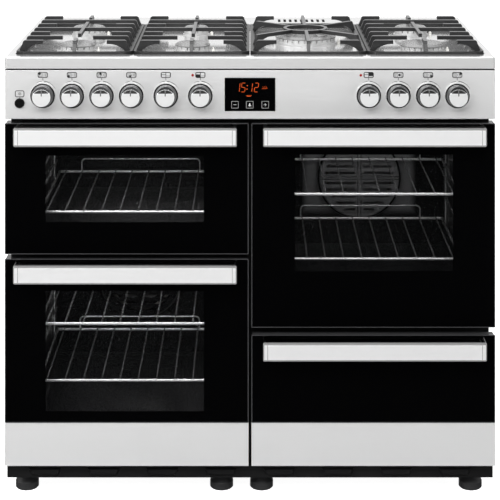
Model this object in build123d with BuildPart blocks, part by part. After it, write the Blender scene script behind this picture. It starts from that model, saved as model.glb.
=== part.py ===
from build123d import *
import os
from math import hypot, pi, sqrt

os.makedirs("parts", exist_ok=True)

# A free-standing gas cooker, one metre wide, in millimetres.
# X runs to the viewer's right, the doors face -Y, Z is up, and the origin is on the floor at the middle.

# Overall sizes
WIDTH = 1000.0
HOB_DEPTH = 600.0
HANDLE_REACH = 48.0

# Heights of the fronts, from the floor up
FOOT_HEIGHT = 38.0
PLINTH_HEIGHT = 26.0
PLINTH_CLEARANCE = 6.0
LOWER_DOOR_HEIGHT = 422.0
UPPER_DOOR_HEIGHT = 267.0
RIGHT_DOOR_HEIGHT = 416.5
DOOR_GAP = 9.5
DRAWER_GAP = 15.0
PANEL_GAP = 8.5
PANEL_HEIGHT = 101.0
LIP_GAP = 2.0
LIP_HEIGHT = 24.0
SUPPORT_RISE = 26.0
TRIM_HEIGHT = 88.0
TRIM_JOINT = 0.6
COLUMN_GAP = 6.0

# Sheet metal and glass
SHEET = 1.5
BASE_SHEET = 2.0
FRAME_SHEET = 2.0
HOB_SHEET = 2.0
GLASS = 4.0

# Carcass
SIDE_INSET = 6.0
SIDE_RETURN = 8.0
BACK_INSET = 24.0
BASE_EDGE = 28.0
PLINTH_INSET = 2.0
PLINTH_SETBACK = 20.0
PLINTH_RETURN = 30.0
FRAME_OVERLAP = 13.0
FRAME_JOINT = 0.1
FOOT_RADIUS = 24.0
FOOT_NECK_RADIUS = 14.0
FOOT_EDGE = 2.5
FOOT_PAD_HEIGHT = 15.0
FOOT_CONE_HEIGHT = 27.0
STUD_RADIUS = 5.0
STUD_LENGTH = 14.0
STUD_CLEARANCE = 0.1
FOOT_X = (37.0 - WIDTH / 2, -59.0, 24.0, WIDTH / 2 - 42.0)
FOOT_FRONT_INSET = 68.0
FOOT_REAR_INSET = 64.0
LOUVRE_COUNT = 8
LOUVRE_PITCH = 120.0
LOUVRE_TOP_WIDTH = 68.0
LOUVRE_FOOT_WIDTH = 54.0
LOUVRE_HEIGHT = 15.0
LOUVRE_DEPTH = 5.0
LOUVRE_TAPER = 30.0

# Doors
DOOR_THICKNESS = 42.0
SEAL_GAP = 4.0
SEAL_CLEARANCE = 0.4
SEAL_WIDTH = 9.0
TRAY_INSET = 1.0
TRAY_CORNER = 6.0
TRAY_RIM = 12.0
GLASS_CORNER = 2.0
WINDOW_WIDTH = 348.0
WINDOW_CORNER = 10.0
UPPER_WINDOW_RISE = 50.0
UPPER_WINDOW_HEIGHT = 153.5
LOWER_WINDOW_RISE = 93.0
LOWER_WINDOW_HEIGHT = 266.0
RIGHT_WINDOW_RISE = 99.0
RIGHT_WINDOW_HEIGHT = 256.0
INNER_GLASS_LAP = 14.0

# Hinges
HINGE_INSET = 25.0
HINGE_SET = 12.0
HINGE_RISE = 14.0
HINGE_PIN_RADIUS = 4.0
HINGE_PIN_CLEARANCE = 0.06
HINGE_EYE_RADIUS = 6.5
HINGE_ARM = 6.0
HINGE_ARM_HEIGHT = 10.0
HINGE_SLOT_CLEARANCE = 1.0
HINGE_CHEEK = 6.0
HINGE_FLANGE_WIDTH = 18.0
HINGE_FLANGE_HEIGHT = 40.0

# Handles
HANDLE_LENGTH = 450.0
HANDLE_HEIGHT = 38.0
HANDLE_DEPTH = 34.0
HANDLE_FRONT_WALL = 6.0
HANDLE_TOP_WALL = 5.0
HANDLE_EDGE = 5.0
HANDLE_CAP = 8.7
HANDLE_CAP_ROUND = 3.0
HANDLE_JOINT = 0.8
HANDLE_DROP = 1.0

# Oven cavities
CAVITY_WIDTH = 390.0
CAVITY_DEPTH = 406.0
CAVITY_CORNER = 14.0
CAVITY_FLANGE = 12.0
CAVITY_TOP_MARGIN = 33.0
UPPER_CAVITY_HEIGHT = 205.0
LOWER_CAVITY_HEIGHT = 310.0
RIGHT_CAVITY_HEIGHT = 335.0

# Shelves and their runner ladders
SHELF_FRONT_GAP = 22.0
UPPER_SHELF_DEPTH = 367.0
LOWER_SHELF_DEPTH = 327.0
SHELF_BAR_RADIUS = 3.0
SHELF_WIRE_RADIUS = 1.6
SHELF_WIRE_LAP = 1.0
SHELF_WIRE_COUNT = 10
SHELF_WIRE_PITCH = 38.0
SHELF_SIDE_GAP = 5.5
STOP_HEIGHT = 29.0
STOP_WIDTH = 272.0
STOP_BEND = 9.0
RUNNER_ROD_RADIUS = 2.5
RUNNER_POST_RADIUS = 2.0
RUNNER_PEG_RADIUS = 1.6
RUNNER_POST_STANDOFF = 3.0
RUNNER_ROD_STANDOFF = 7.0
RUNNER_SEAT = 0.3
RUNNER_FRONT_INSET = 38.0
RUNNER_REAR_INSET = 80.0
RUNNER_LEVELS = 4
RUNNER_POST_LAP = 12.0
RUNNER_ROD_LAP = 14.0
UPPER_SHELF_RISE = 34.0
UPPER_SHELF_STEP = 41.0
LOWER_SHELF_RISE = 65.0
LOWER_SHELF_STEP = 59.0
RIGHT_SHELF_RISE = 66.5
RIGHT_SHELF_STEP = 67.25

# Oven fans and elements
FAN_COVER_RADIUS = 97.0
FAN_COVER_DEPTH = 24.0
FAN_COVER_EDGE = 8.0
FAN_SLOT_ROWS = 5
FAN_SLOT_FIRST = 11.5
FAN_SLOT_PITCH = 15.1
FAN_SLOT_REACH = 80.0
FAN_SLOT_HEIGHT = 6.0
FAN_RIB = 18.5
LOWER_FAN_RISE = 178.0
RIGHT_FAN_RISE = 156.0
FAN_RADIUS = 58.0
FAN_BLADE_COUNT = 8
FAN_BLADE_WIDTH = 12.0
FAN_BLADE_THICKNESS = 2.0
FAN_BLADE_ROOT = 20.0
FAN_WALL_GAP = 4.0
FAN_HUB_RADIUS = 10.0
FAN_SHAFT_RADIUS = 4.0
FAN_SHAFT_CLEARANCE = 0.06
FAN_SHAFT_HOLE = 7.0
MOTOR_RADIUS = 36.0
MOTOR_LENGTH = 52.0
RING_RADIUS = 74.0
ELEMENT_RADIUS = 3.2
ELEMENT_HOLE_CLEARANCE = 0.3
ELEMENT_TAIL = 12.0
RING_TAIL_ANGLE = 20.0
RING_TAIL_START = -90.0 - RING_TAIL_ANGLE / 2
GRILL_DROP = 24.0
GRILL_WIDTH = 300.0
GRILL_PITCH = 54.0
GRILL_FRONT_INSET = 70.0
GRILL_BEND = 16.0

# Storage drawer
DRAWER_INSET = 19.0
DRAWER_FLOOR_RISE = 22.0
DRAWER_BOX_HEIGHT = 200.0
DRAWER_BOX_DEPTH = 450.0
DRAWER_PAN_DEPTH = 22.0
DRAWER_PAN_INSET = 2.0
DRAWER_MOUTH_CLEARANCE = 4.0
RUNNER_WIDTH = 10.0
RUNNER_HEIGHT = 12.0
RUNNER_DROP = 10.0
RUNNER_CLEARANCE = 0.4
CHANNEL_SIDE_GAP = 2.0
RUNNER_FRONT_GAP = 4.0

# Hob
HOB_CORNER = 5.0
HOB_EDGE = 3.0
WELL_DEPTH = 8.0
WELL_SIDE = 16.0
WELL_FRONT = 30.0
WELL_REAR = 130.0
WELL_CORNER = 12.0
VENT_GROUPS = 4
VENT_SLOTS = 9
VENT_SLOT_LENGTH = 46.0
VENT_SLOT_WIDTH = 6.0
VENT_SLOT_PITCH = 13.0

# Burners
FRONT_BURNER_Y = 118.0
REAR_BURNER_Y = 362.0
SMALL_BURNER = 27.0
MEDIUM_BURNER = 36.0
LARGE_BURNER = 46.0
WOK_BURNER = 65.0
WOK_INNER_CROWN = 26.0
WOK_RING_WIDTH = 20.0
BURNER_CUP_INSET = 8.0
BURNER_CUP_DEPTH = 34.0
BURNER_HOLE_CLEARANCE = 0.6
BURNER_FLANGE = 3.0
CROWN_HEIGHT = 14.0
CROWN_SLOT_DEPTH = 6.0
CROWN_SLOT_WIDTH = 2.4
CROWN_SLOT_PITCH = 13.0
CAP_OVERHANG = 1.0
CAP_RIM = 2.0
CAP_HEIGHT = 6.0
CAP_BEVEL = 5.0
ELECTRODE_RADIUS = 1.6
ELECTRODE_COLLAR = 3.6
ELECTRODE_COLLAR_HEIGHT = 6.0
ELECTRODE_REACH = 10.0
ELECTRODE_GAP = 7.5
ELECTRODE_TAIL = 18.0
ELECTRODE_CLEARANCE = 0.2

# Pan supports
SUPPORT_GAP = 2.0
SUPPORT_FRONT_GAP = 2.0
SUPPORT_DEPTH = 424.0
SUPPORT_BAR = 9.0
SUPPORT_BAR_HEIGHT = 10.0
SUPPORT_CHAMFER = 16.0
SUPPORT_PAD_HEIGHT = 3.0
SUPPORT_PAD_RADIUS = 6.0
FIN_THICKNESS = 7.0
FIN_DEPTH = 8.0
FIN_LEAN = 12.0
FIN_ROUND = 6.0
FIN_SETBACK = 1.0
GUSSET_REACH = 0.3
GUSSET_RISE = 0.62
FIN_LENGTH = 54.0
FIN_COUNT = 7
FIN_PITCH = 61.0
FINGER_GAP = 32.0
WOK_RING_RADIUS = 48.0
WOK_RING_WALL = 7.0
WOK_FINGER_Y = 115.0

# Controls
KNOB_RISE = 48.0
KNOB_SKIRT_RADIUS = 26.5
KNOB_SKIRT = 2.5
KNOB_RADIUS = 23.5
KNOB_FACE_RADIUS = 19.8
KNOB_LENGTH = 24.0
KNOB_EDGE = 1.5
KNOB_GAP = 1.0
KNOB_FACET_RISE = 8.8
KNOB_FACET_DEPTH = 11.0
SPINDLE_RADIUS = 4.0
SPINDLE_CLEARANCE = 0.06
SPINDLE_LENGTH = 18.0
SPINDLE_HOLE_CLEARANCE = 2.0
TAP_WIDTH = 26.0
TAP_HEIGHT = 32.0
CONTROL_WIDTH = 42.0
CONTROL_HEIGHT = 46.0
CONTROL_DEPTH = 36.0
PANEL_EDGE = 2.0
PANEL_FLANGE = 24.0
PANEL_FLANGE_MARGIN = 6.0
DISPLAY_RISE = 50.5
DISPLAY_WIDTH = 103.0
DISPLAY_HEIGHT = 67.7
DISPLAY_PROUD = 1.3
DISPLAY_CLEARANCE = 0.1
CLOCK_LAP = 5.0
CLOCK_DEPTH = 28.0
BUTTON_X = 30.4 - WIDTH / 2
BUTTON_RISE = 33.0
BUTTON_RADIUS = 10.0
BUTTON_CLEARANCE = 0.06
BUTTON_PROUD = 5.0
BUTTON_CROWN = 1.5
BUTTON_TRAVEL = 3.5
BUTTON_COLLAR = 2.0
BUTTON_COLLAR_DEPTH = 3.0
BUTTON_SEAT = 0.3
SWITCH_WALL = 3.0
LAMP_RADIUS = 2.6
LAMP_FACE_RADIUS = 1.6
LAMP_EDGE = 0.9
LAMP_PROUD = 1.5
LAMP_LENGTH = 8.0
LAMP_CLEARANCE = 0.05
LAMP_RISE = 89.6
LAMP_X = (-117.0, 226.0)

# Gas supply and rear entries
RAIL_RADIUS = 8.0
RAIL_BORE_RADIUS = 6.0
RAIL_SEAT = 0.3
RAIL_BEND = 30.0
RAIL_END_X = 446.0
RAIL_RISER_INSET = 30.0
INLET_RADIUS = 10.4775
INLET_LENGTH = 16.0
INLET_COLLAR_RADIUS = 14.0
INLET_COLLAR_LENGTH = 14.0
INLET_CLEARANCE = 0.2
CABLE_BORE_RADIUS = 10.0
CABLE_COLLAR = 5.0
CABLE_COLLAR_LENGTH = 12.0
CABLE_X = -380.0
CABLE_Z = 120.0
BACK_SLOT_ROWS = 6
BACK_SLOT_COLUMNS = 4
BACK_SLOT_PITCH_Z = 22.0
BACK_SLOT_PITCH_X = 150.0
BACK_SLOT_LENGTH = 110.0
BACK_SLOT_HEIGHT = 6.0
BACK_SLOT_Z = 640.0

# Knobs from left to right: name, place across the panel, and whether it turns a gas tap
KNOBS = (
    ("rear_left_knob", -422.5, True),
    ("front_left_knob", -363.0, True),
    ("rear_middle_knob", -302.5, True),
    ("front_middle_knob", -242.0, True),
    ("grill_knob", -171.6, False),
    ("left_oven_knob", -101.2, False),
    ("right_oven_knob", 242.0, False),
    ("wok_knob", 302.5, True),
    ("front_right_knob", 363.0, True),
    ("rear_right_knob", 422.5, True),
)

# Levels and planes that follow from the sizes above
FRONT_Y = HANDLE_REACH - (HOB_DEPTH + HANDLE_REACH) / 2
REAR_Y = FRONT_Y + HOB_DEPTH
FRONTS_FLOOR = FOOT_HEIGHT + PLINTH_HEIGHT + PLINTH_CLEARANCE
LOWER_DOOR_TOP = FRONTS_FLOOR + LOWER_DOOR_HEIGHT
UPPER_DOOR_FLOOR = LOWER_DOOR_TOP + DOOR_GAP
FRONTS_TOP = UPPER_DOOR_FLOOR + UPPER_DOOR_HEIGHT
RIGHT_DOOR_FLOOR = FRONTS_TOP - RIGHT_DOOR_HEIGHT
DRAWER_TOP = RIGHT_DOOR_FLOOR - DRAWER_GAP
PANEL_FLOOR = FRONTS_TOP + PANEL_GAP
PANEL_TOP = PANEL_FLOOR + PANEL_HEIGHT
LIP_FLOOR = PANEL_TOP + LIP_GAP
HOB_TOP = LIP_FLOOR + LIP_HEIGHT
HOB_UNDERSIDE = HOB_TOP - HOB_SHEET
WELL_FLOOR = HOB_TOP - WELL_DEPTH
SUPPORT_TOP = HOB_TOP + SUPPORT_RISE
COLUMN_WIDTH = (WIDTH - COLUMN_GAP) / 2
COLUMN_X = (WIDTH + COLUMN_GAP) / 4
GLASS_BACK = FRONT_Y + GLASS
DOOR_BACK = FRONT_Y + DOOR_THICKNESS
FRAME_FRONT = DOOR_BACK + SEAL_GAP
FRAME_BACK = FRAME_FRONT + FRAME_SHEET
BACK_FRONT = REAR_Y - BACK_INSET
CARCASS_HALF = WIDTH / 2 - SIDE_INSET
BASE_TOP = FOOT_HEIGHT + BASE_EDGE
BASE_FLOOR = FOOT_HEIGHT + BASE_SHEET
BASE_FRONT = FRONT_Y + PLINTH_SETBACK + SHEET
FRAME_HALF = CARCASS_HALF - BASE_SHEET
FRAME_TOP = PANEL_FLOOR + FRAME_OVERLAP
CAVITY_REAR = FRAME_BACK + CAVITY_DEPTH
UPPER_CAVITY_TOP = FRONTS_TOP - CAVITY_TOP_MARGIN
UPPER_CAVITY_FLOOR = UPPER_CAVITY_TOP - UPPER_CAVITY_HEIGHT
LOWER_CAVITY_TOP = LOWER_DOOR_TOP - CAVITY_TOP_MARGIN
LOWER_CAVITY_FLOOR = LOWER_CAVITY_TOP - LOWER_CAVITY_HEIGHT
RIGHT_CAVITY_FLOOR = UPPER_CAVITY_TOP - RIGHT_CAVITY_HEIGHT
LOWER_FAN_Z = LOWER_CAVITY_FLOOR + LOWER_FAN_RISE
RIGHT_FAN_Z = RIGHT_CAVITY_FLOOR + RIGHT_FAN_RISE
KNOB_Z = PANEL_FLOOR + KNOB_RISE
DISPLAY_Z = PANEL_FLOOR + DISPLAY_RISE
PANEL_INSIDE = FRONT_Y + SHEET
WELL_WIDTH = WIDTH - 2 * WELL_SIDE
WELL_LENGTH = HOB_DEPTH - WELL_FRONT - WELL_REAR
WELL_MID_Y = FRONT_Y + WELL_FRONT + WELL_LENGTH / 2
SUPPORT_PITCH = WELL_WIDTH / 4
SUPPORT_WIDTH = SUPPORT_PITCH - SUPPORT_GAP
SUPPORT_FRONT = FRONT_Y + WELL_FRONT + SUPPORT_FRONT_GAP
SUPPORT_MID_Y = SUPPORT_FRONT + SUPPORT_DEPTH / 2
SUPPORT_FLOOR = WELL_FLOOR + SUPPORT_PAD_HEIGHT
FINGER_RISE = SUPPORT_TOP - SUPPORT_FLOOR
FRONT_BURNER = FRONT_Y + FRONT_BURNER_Y
REAR_BURNER = FRONT_Y + REAR_BURNER_Y
WOK_Y = (FRONT_BURNER + REAR_BURNER) / 2
RAIL_Y = FRAME_FRONT + RAIL_RADIUS
RAIL_RISER_X = CARCASS_HALF - RAIL_RISER_INSET
BOX_LEFT = FRAME_SHEET / 2 + DRAWER_INSET
BOX_RIGHT = CARCASS_HALF - SHEET - DRAWER_INSET
BOX_FLOOR = FRONTS_FLOOR + DRAWER_FLOOR_RISE
BOX_TOP = BOX_FLOOR + DRAWER_BOX_HEIGHT
BOX_REAR = GLASS_BACK + DRAWER_BOX_DEPTH
DRAWER_RUNNER_TOP = BOX_TOP - RUNNER_DROP
DRAWER_RUNNER_FLOOR = DRAWER_RUNNER_TOP - RUNNER_HEIGHT

# Burners: place across, place in depth, radius of the crown
BURNERS = (
    (-1.5 * SUPPORT_PITCH, FRONT_BURNER, MEDIUM_BURNER),
    (-1.5 * SUPPORT_PITCH, REAR_BURNER, MEDIUM_BURNER),
    (-0.5 * SUPPORT_PITCH, FRONT_BURNER, MEDIUM_BURNER),
    (-0.5 * SUPPORT_PITCH, REAR_BURNER, SMALL_BURNER),
    (0.5 * SUPPORT_PITCH, WOK_Y, WOK_BURNER),
    (1.5 * SUPPORT_PITCH, FRONT_BURNER, LARGE_BURNER),
    (1.5 * SUPPORT_PITCH, REAR_BURNER, MEDIUM_BURNER),
)

# Cavities: centre across, floor, top
UPPER_LEFT_MOUTH = (-COLUMN_X, UPPER_CAVITY_FLOOR, UPPER_CAVITY_TOP)
LOWER_LEFT_MOUTH = (-COLUMN_X, LOWER_CAVITY_FLOOR, LOWER_CAVITY_TOP)
RIGHT_MOUTH = (COLUMN_X, RIGHT_CAVITY_FLOOR, UPPER_CAVITY_TOP)
MOUTHS = (UPPER_LEFT_MOUTH, LOWER_LEFT_MOUTH, RIGHT_MOUTH)

# Hinge axes: centre of the door across, height of the pins
HINGES = (
    (-COLUMN_X, UPPER_DOOR_FLOOR + HINGE_RISE),
    (-COLUMN_X, FRONTS_FLOOR + HINGE_RISE),
    (COLUMN_X, RIGHT_DOOR_FLOOR + HINGE_RISE),
)
HINGE_Y = FRONT_Y + HINGE_SET
HINGE_SPREAD = COLUMN_WIDTH / 2 - HINGE_INSET

# Fan shafts: place across, height
FANS = ((-COLUMN_X, LOWER_FAN_Z), (COLUMN_X, RIGHT_FAN_Z))


def save(piece, label):
    """Name a finished piece and write it to its own file."""
    piece.part.label = label
    export_step(piece.part, f"parts/{label}.step")


def front_plane(y):
    """Drawing plane that faces the cook at depth y, with X across and Z up."""
    return Plane(origin=(0, y, 0), x_dir=(1, 0, 0), z_dir=(0, -1, 0))


def side_plane(x):
    """Drawing plane square to X, with Y across and Z up."""
    return Plane(origin=(x, 0, 0), x_dir=(0, 1, 0), z_dir=(1, 0, 0))


def upright_plane(x, y):
    """Drawing plane through a vertical axis, with the radius across and Z up."""
    return Plane(origin=(x, y, 0), x_dir=(1, 0, 0), z_dir=(0, -1, 0))


def plate(plane, low, high, depth, mode=Mode.ADD, corner=0.0):
    """A flat plate: a rectangle between two corners of a plane, pushed along the plane's normal."""
    width = high[0] - low[0]
    height = high[1] - low[1]
    with BuildSketch(plane) as outline:
        with Locations(((low[0] + high[0]) / 2, (low[1] + high[1]) / 2)):
            if corner > 0:
                RectangleRounded(width, height, corner)
            else:
                Rectangle(width, height)
    extrude(outline.sketch, amount=depth, mode=mode)


def disc(plane, place, radius, depth, mode=Mode.ADD):
    """A round boss or hole: a circle on a plane, pushed along the plane's normal."""
    with BuildSketch(plane) as outline:
        with Locations(place):
            Circle(radius)
    extrude(outline.sketch, amount=depth, mode=mode)


def turned(plane, axis, profile):
    """A turned piece: a closed outline of radius and height, spun about its axis."""
    with BuildSketch(plane) as outline:
        with BuildLine():
            Polyline(*profile, close=True)
        make_face()
    revolve(outline.sketch, axis=axis)


def rod(start, end, radius):
    """A straight round wire between two points."""
    run = Vector(*end) - Vector(*start)
    with BuildSketch(Plane(origin=start, z_dir=run)) as section:
        Circle(radius)
    extrude(section.sketch, amount=run.length)


# Levelling feet: a moulded pad, a neck that carries the base, and a stud through its floor
with BuildPart() as levelling_feet:
    for foot_x in FOOT_X:
        for foot_y in (FRONT_Y + FOOT_FRONT_INSET, REAR_Y - FOOT_REAR_INSET):
            turned(
                upright_plane(foot_x, foot_y),
                Axis((foot_x, foot_y, 0), (0, 0, 1)),
                (
                    (0, 0),
                    (FOOT_RADIUS - FOOT_EDGE, 0),
                    (FOOT_RADIUS, FOOT_EDGE),
                    (FOOT_RADIUS, FOOT_PAD_HEIGHT),
                    (FOOT_NECK_RADIUS, FOOT_CONE_HEIGHT),
                    (FOOT_NECK_RADIUS, FOOT_HEIGHT),
                    (STUD_RADIUS, FOOT_HEIGHT),
                    (STUD_RADIUS, FOOT_HEIGHT + STUD_LENGTH),
                    (0, FOOT_HEIGHT + STUD_LENGTH),
                ),
            )
save(levelling_feet, "levelling_feet")

# Base chassis: a pressed tray that the whole carcass stands in
with BuildPart() as base_chassis:
    plate(
        Plane.XY.offset(FOOT_HEIGHT),
        (-CARCASS_HALF, BASE_FRONT),
        (CARCASS_HALF, BACK_FRONT),
        BASE_EDGE,
    )
    offset(amount=-BASE_SHEET, openings=base_chassis.faces().sort_by(Axis.Z)[-1])
    for foot_x in FOOT_X:
        for foot_y in (FRONT_Y + FOOT_FRONT_INSET, REAR_Y - FOOT_REAR_INSET):
            disc(
                Plane.XY.offset(FOOT_HEIGHT),
                (foot_x, foot_y),
                STUD_RADIUS + STUD_CLEARANCE,
                BASE_SHEET,
                Mode.SUBTRACT,
            )
save(base_chassis, "base_chassis")

# Plinth: a folded kick strip with pressed louvres, set back under the fronts
PLINTH_HALF = WIDTH / 2 - PLINTH_INSET
PLINTH_FRONT = FRONT_Y + PLINTH_SETBACK
LOUVRE_MID_Z = FOOT_HEIGHT + PLINTH_HEIGHT / 2
with BuildPart() as plinth:
    plate(
        Plane.XY.offset(FOOT_HEIGHT),
        (-PLINTH_HALF, PLINTH_FRONT),
        (PLINTH_HALF, PLINTH_FRONT + PLINTH_RETURN),
        PLINTH_HEIGHT,
    )
    plate(
        Plane.XY.offset(FOOT_HEIGHT),
        (SHEET - PLINTH_HALF, BASE_FRONT),
        (PLINTH_HALF - SHEET, PLINTH_FRONT + PLINTH_RETURN),
        PLINTH_HEIGHT,
        Mode.SUBTRACT,
    )
    with BuildSketch(front_plane(PLINTH_FRONT)):
        with GridLocations(LOUVRE_PITCH, 1, LOUVRE_COUNT, 1):
            Polygon(
                (-LOUVRE_TOP_WIDTH / 2, LOUVRE_MID_Z + LOUVRE_HEIGHT / 2),
                (LOUVRE_TOP_WIDTH / 2, LOUVRE_MID_Z + LOUVRE_HEIGHT / 2),
                (LOUVRE_FOOT_WIDTH / 2, LOUVRE_MID_Z - LOUVRE_HEIGHT / 2),
                (-LOUVRE_FOOT_WIDTH / 2, LOUVRE_MID_Z - LOUVRE_HEIGHT / 2),
                align=None,
            )
    extrude(amount=LOUVRE_DEPTH, taper=LOUVRE_TAPER)
save(plinth, "plinth")

# Side panels: folded sheets that stand on the base and carry the hob, with a return at each end
with BuildPart() as side_panels:
    for side in (-1, 1):
        with BuildSketch(Plane.XY.offset(BASE_TOP)):
            with BuildLine():
                Polyline(
                    (side * CARCASS_HALF, FRAME_BACK),
                    (side * CARCASS_HALF, BACK_FRONT),
                    (side * (CARCASS_HALF - SIDE_RETURN), BACK_FRONT),
                    (side * (CARCASS_HALF - SIDE_RETURN), BACK_FRONT - SHEET),
                    (side * (CARCASS_HALF - SHEET), BACK_FRONT - SHEET),
                    (side * (CARCASS_HALF - SHEET), FRAME_BACK + SHEET),
                    (side * (CARCASS_HALF - SIDE_RETURN), FRAME_BACK + SHEET),
                    (side * (CARCASS_HALF - SIDE_RETURN), FRAME_BACK),
                    close=True,
                )
            make_face()
        extrude(amount=HOB_UNDERSIDE - BASE_TOP)
save(side_panels, "side_panels")

# Carcass frame: flat posts and rails round the oven and drawer mouths, and the wall between the columns
INNER_EDGE = COLUMN_X - CAVITY_WIDTH / 2
OUTER_EDGE = COLUMN_X + CAVITY_WIDTH / 2
DRAWER_MOUTH_LEFT = BOX_LEFT - RUNNER_WIDTH - CHANNEL_SIDE_GAP
DRAWER_MOUTH_RIGHT = BOX_RIGHT + RUNNER_WIDTH + CHANNEL_SIDE_GAP
DRAWER_MOUTH_FLOOR = BOX_FLOOR - DRAWER_MOUTH_CLEARANCE
DRAWER_MOUTH_TOP = BOX_TOP + DRAWER_MOUTH_CLEARANCE
# Each post or rail: left, right, floor, top
FRAME_PLATES = (
    (-FRAME_HALF, -OUTER_EDGE, BASE_FLOOR, FRAME_TOP),
    (-INNER_EDGE, INNER_EDGE, DRAWER_MOUTH_TOP, FRAME_TOP),
    (-INNER_EDGE, DRAWER_MOUTH_LEFT, BASE_FLOOR, DRAWER_MOUTH_TOP),
    (OUTER_EDGE, FRAME_HALF, DRAWER_MOUTH_TOP, FRAME_TOP),
    (DRAWER_MOUTH_RIGHT, FRAME_HALF, BASE_FLOOR, DRAWER_MOUTH_TOP),
    (-OUTER_EDGE, -INNER_EDGE, BASE_FLOOR, LOWER_CAVITY_FLOOR),
    (-OUTER_EDGE, -INNER_EDGE, LOWER_CAVITY_TOP, UPPER_CAVITY_FLOOR),
    (-OUTER_EDGE, -INNER_EDGE, UPPER_CAVITY_TOP, FRAME_TOP),
    (INNER_EDGE, OUTER_EDGE, DRAWER_MOUTH_TOP, RIGHT_CAVITY_FLOOR),
    (INNER_EDGE, OUTER_EDGE, UPPER_CAVITY_TOP, FRAME_TOP),
    (DRAWER_MOUTH_LEFT, DRAWER_MOUTH_RIGHT, BASE_FLOOR, DRAWER_MOUTH_FLOOR),
)
with BuildPart() as carcass_frame:
    for left, right, floor, top in FRAME_PLATES:
        plate(
            front_plane(FRAME_BACK),
            (left + FRAME_JOINT / 2, floor + FRAME_JOINT / 2),
            (right - FRAME_JOINT / 2, top - FRAME_JOINT / 2),
            FRAME_SHEET,
        )
    for door_x, pin_z in HINGES:
        for side in (-1, 1):
            arm_x = door_x + side * HINGE_SPREAD
            slot_half = HINGE_ARM / 2 + HINGE_SLOT_CLEARANCE
            slot_rise = HINGE_ARM_HEIGHT / 2 + HINGE_SLOT_CLEARANCE
            plate(
                front_plane(FRAME_BACK),
                (arm_x - slot_half, pin_z - slot_rise),
                (arm_x + slot_half, pin_z + slot_rise),
                FRAME_SHEET,
                Mode.SUBTRACT,
            )
    plate(
        side_plane(-FRAME_SHEET / 2),
        (FRAME_BACK + FRAME_JOINT, BASE_FLOOR),
        (BACK_FRONT - BASE_SHEET, FRAME_TOP),
        FRAME_SHEET,
    )
save(carcass_frame, "carcass_frame")

# Back panel: a flat sheet with cooling slots, a hole for the gas inlet and a collar for the supply cable
with BuildPart() as back_panel:
    plate(
        front_plane(BACK_FRONT + SHEET),
        (-CARCASS_HALF, FOOT_HEIGHT),
        (CARCASS_HALF, HOB_UNDERSIDE),
        SHEET,
    )
    disc(
        front_plane(BACK_FRONT + SHEET),
        (RAIL_RISER_X, KNOB_Z),
        INLET_COLLAR_RADIUS + INLET_CLEARANCE,
        SHEET,
        Mode.SUBTRACT,
    )
    cable_plane = front_plane(BACK_FRONT + CABLE_COLLAR_LENGTH)
    disc(cable_plane, (CABLE_X, CABLE_Z), CABLE_BORE_RADIUS + CABLE_COLLAR, CABLE_COLLAR_LENGTH)
    disc(cable_plane, (CABLE_X, CABLE_Z), CABLE_BORE_RADIUS, CABLE_COLLAR_LENGTH, Mode.SUBTRACT)
    with BuildSketch(front_plane(BACK_FRONT + SHEET)):
        with Locations((0, BACK_SLOT_Z)):
            with GridLocations(BACK_SLOT_PITCH_X, BACK_SLOT_PITCH_Z, BACK_SLOT_COLUMNS, BACK_SLOT_ROWS):
                Rectangle(BACK_SLOT_LENGTH, BACK_SLOT_HEIGHT)
    extrude(amount=SHEET, mode=Mode.SUBTRACT)
save(back_panel, "back_panel")

# Hob top: one pressing with a folded skirt, a shallow well for the pan supports and vents behind it
with BuildPart() as hob_top:
    plate(
        Plane.XY.offset(LIP_FLOOR),
        (-WIDTH / 2, FRONT_Y),
        (WIDTH / 2, REAR_Y),
        LIP_HEIGHT,
        corner=HOB_CORNER,
    )
    fillet(hob_top.edges().group_by(Axis.Z)[-1], HOB_EDGE)
    plate(
        Plane.XY.offset(LIP_FLOOR),
        (HOB_SHEET - WIDTH / 2, FRONT_Y + HOB_SHEET),
        (WIDTH / 2 - HOB_SHEET, REAR_Y - HOB_SHEET),
        LIP_HEIGHT - HOB_SHEET,
        Mode.SUBTRACT,
        HOB_CORNER - HOB_SHEET,
    )
    plate(
        Plane.XY.offset(WELL_FLOOR - HOB_SHEET),
        (-WELL_WIDTH / 2 - HOB_SHEET, WELL_MID_Y - WELL_LENGTH / 2 - HOB_SHEET),
        (WELL_WIDTH / 2 + HOB_SHEET, WELL_MID_Y + WELL_LENGTH / 2 + HOB_SHEET),
        WELL_DEPTH + HOB_SHEET,
        corner=WELL_CORNER + HOB_SHEET,
    )
    plate(
        Plane.XY.offset(WELL_FLOOR),
        (-WELL_WIDTH / 2, WELL_MID_Y - WELL_LENGTH / 2),
        (WELL_WIDTH / 2, WELL_MID_Y + WELL_LENGTH / 2),
        WELL_DEPTH,
        Mode.SUBTRACT,
        WELL_CORNER,
    )
    for burner_x, burner_y, crown_radius in BURNERS:
        disc(
            Plane.XY.offset(WELL_FLOOR),
            (burner_x, burner_y),
            crown_radius - BURNER_CUP_INSET + BURNER_HOLE_CLEARANCE,
            -HOB_SHEET,
            Mode.SUBTRACT,
        )
        disc(
            Plane.XY.offset(WELL_FLOOR),
            (burner_x + crown_radius + ELECTRODE_GAP, burner_y),
            ELECTRODE_RADIUS + ELECTRODE_CLEARANCE,
            -HOB_SHEET,
            Mode.SUBTRACT,
        )
    with BuildSketch(Plane.XY.offset(HOB_TOP)):
        with Locations((0, REAR_Y - WELL_REAR / 2)):
            with GridLocations(SUPPORT_PITCH, 1, VENT_GROUPS, 1):
                with GridLocations(VENT_SLOT_PITCH, 1, VENT_SLOTS, 1):
                    Rectangle(VENT_SLOT_WIDTH, VENT_SLOT_LENGTH)
    extrude(amount=-HOB_SHEET, mode=Mode.SUBTRACT)
save(hob_top, "hob_top")

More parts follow.
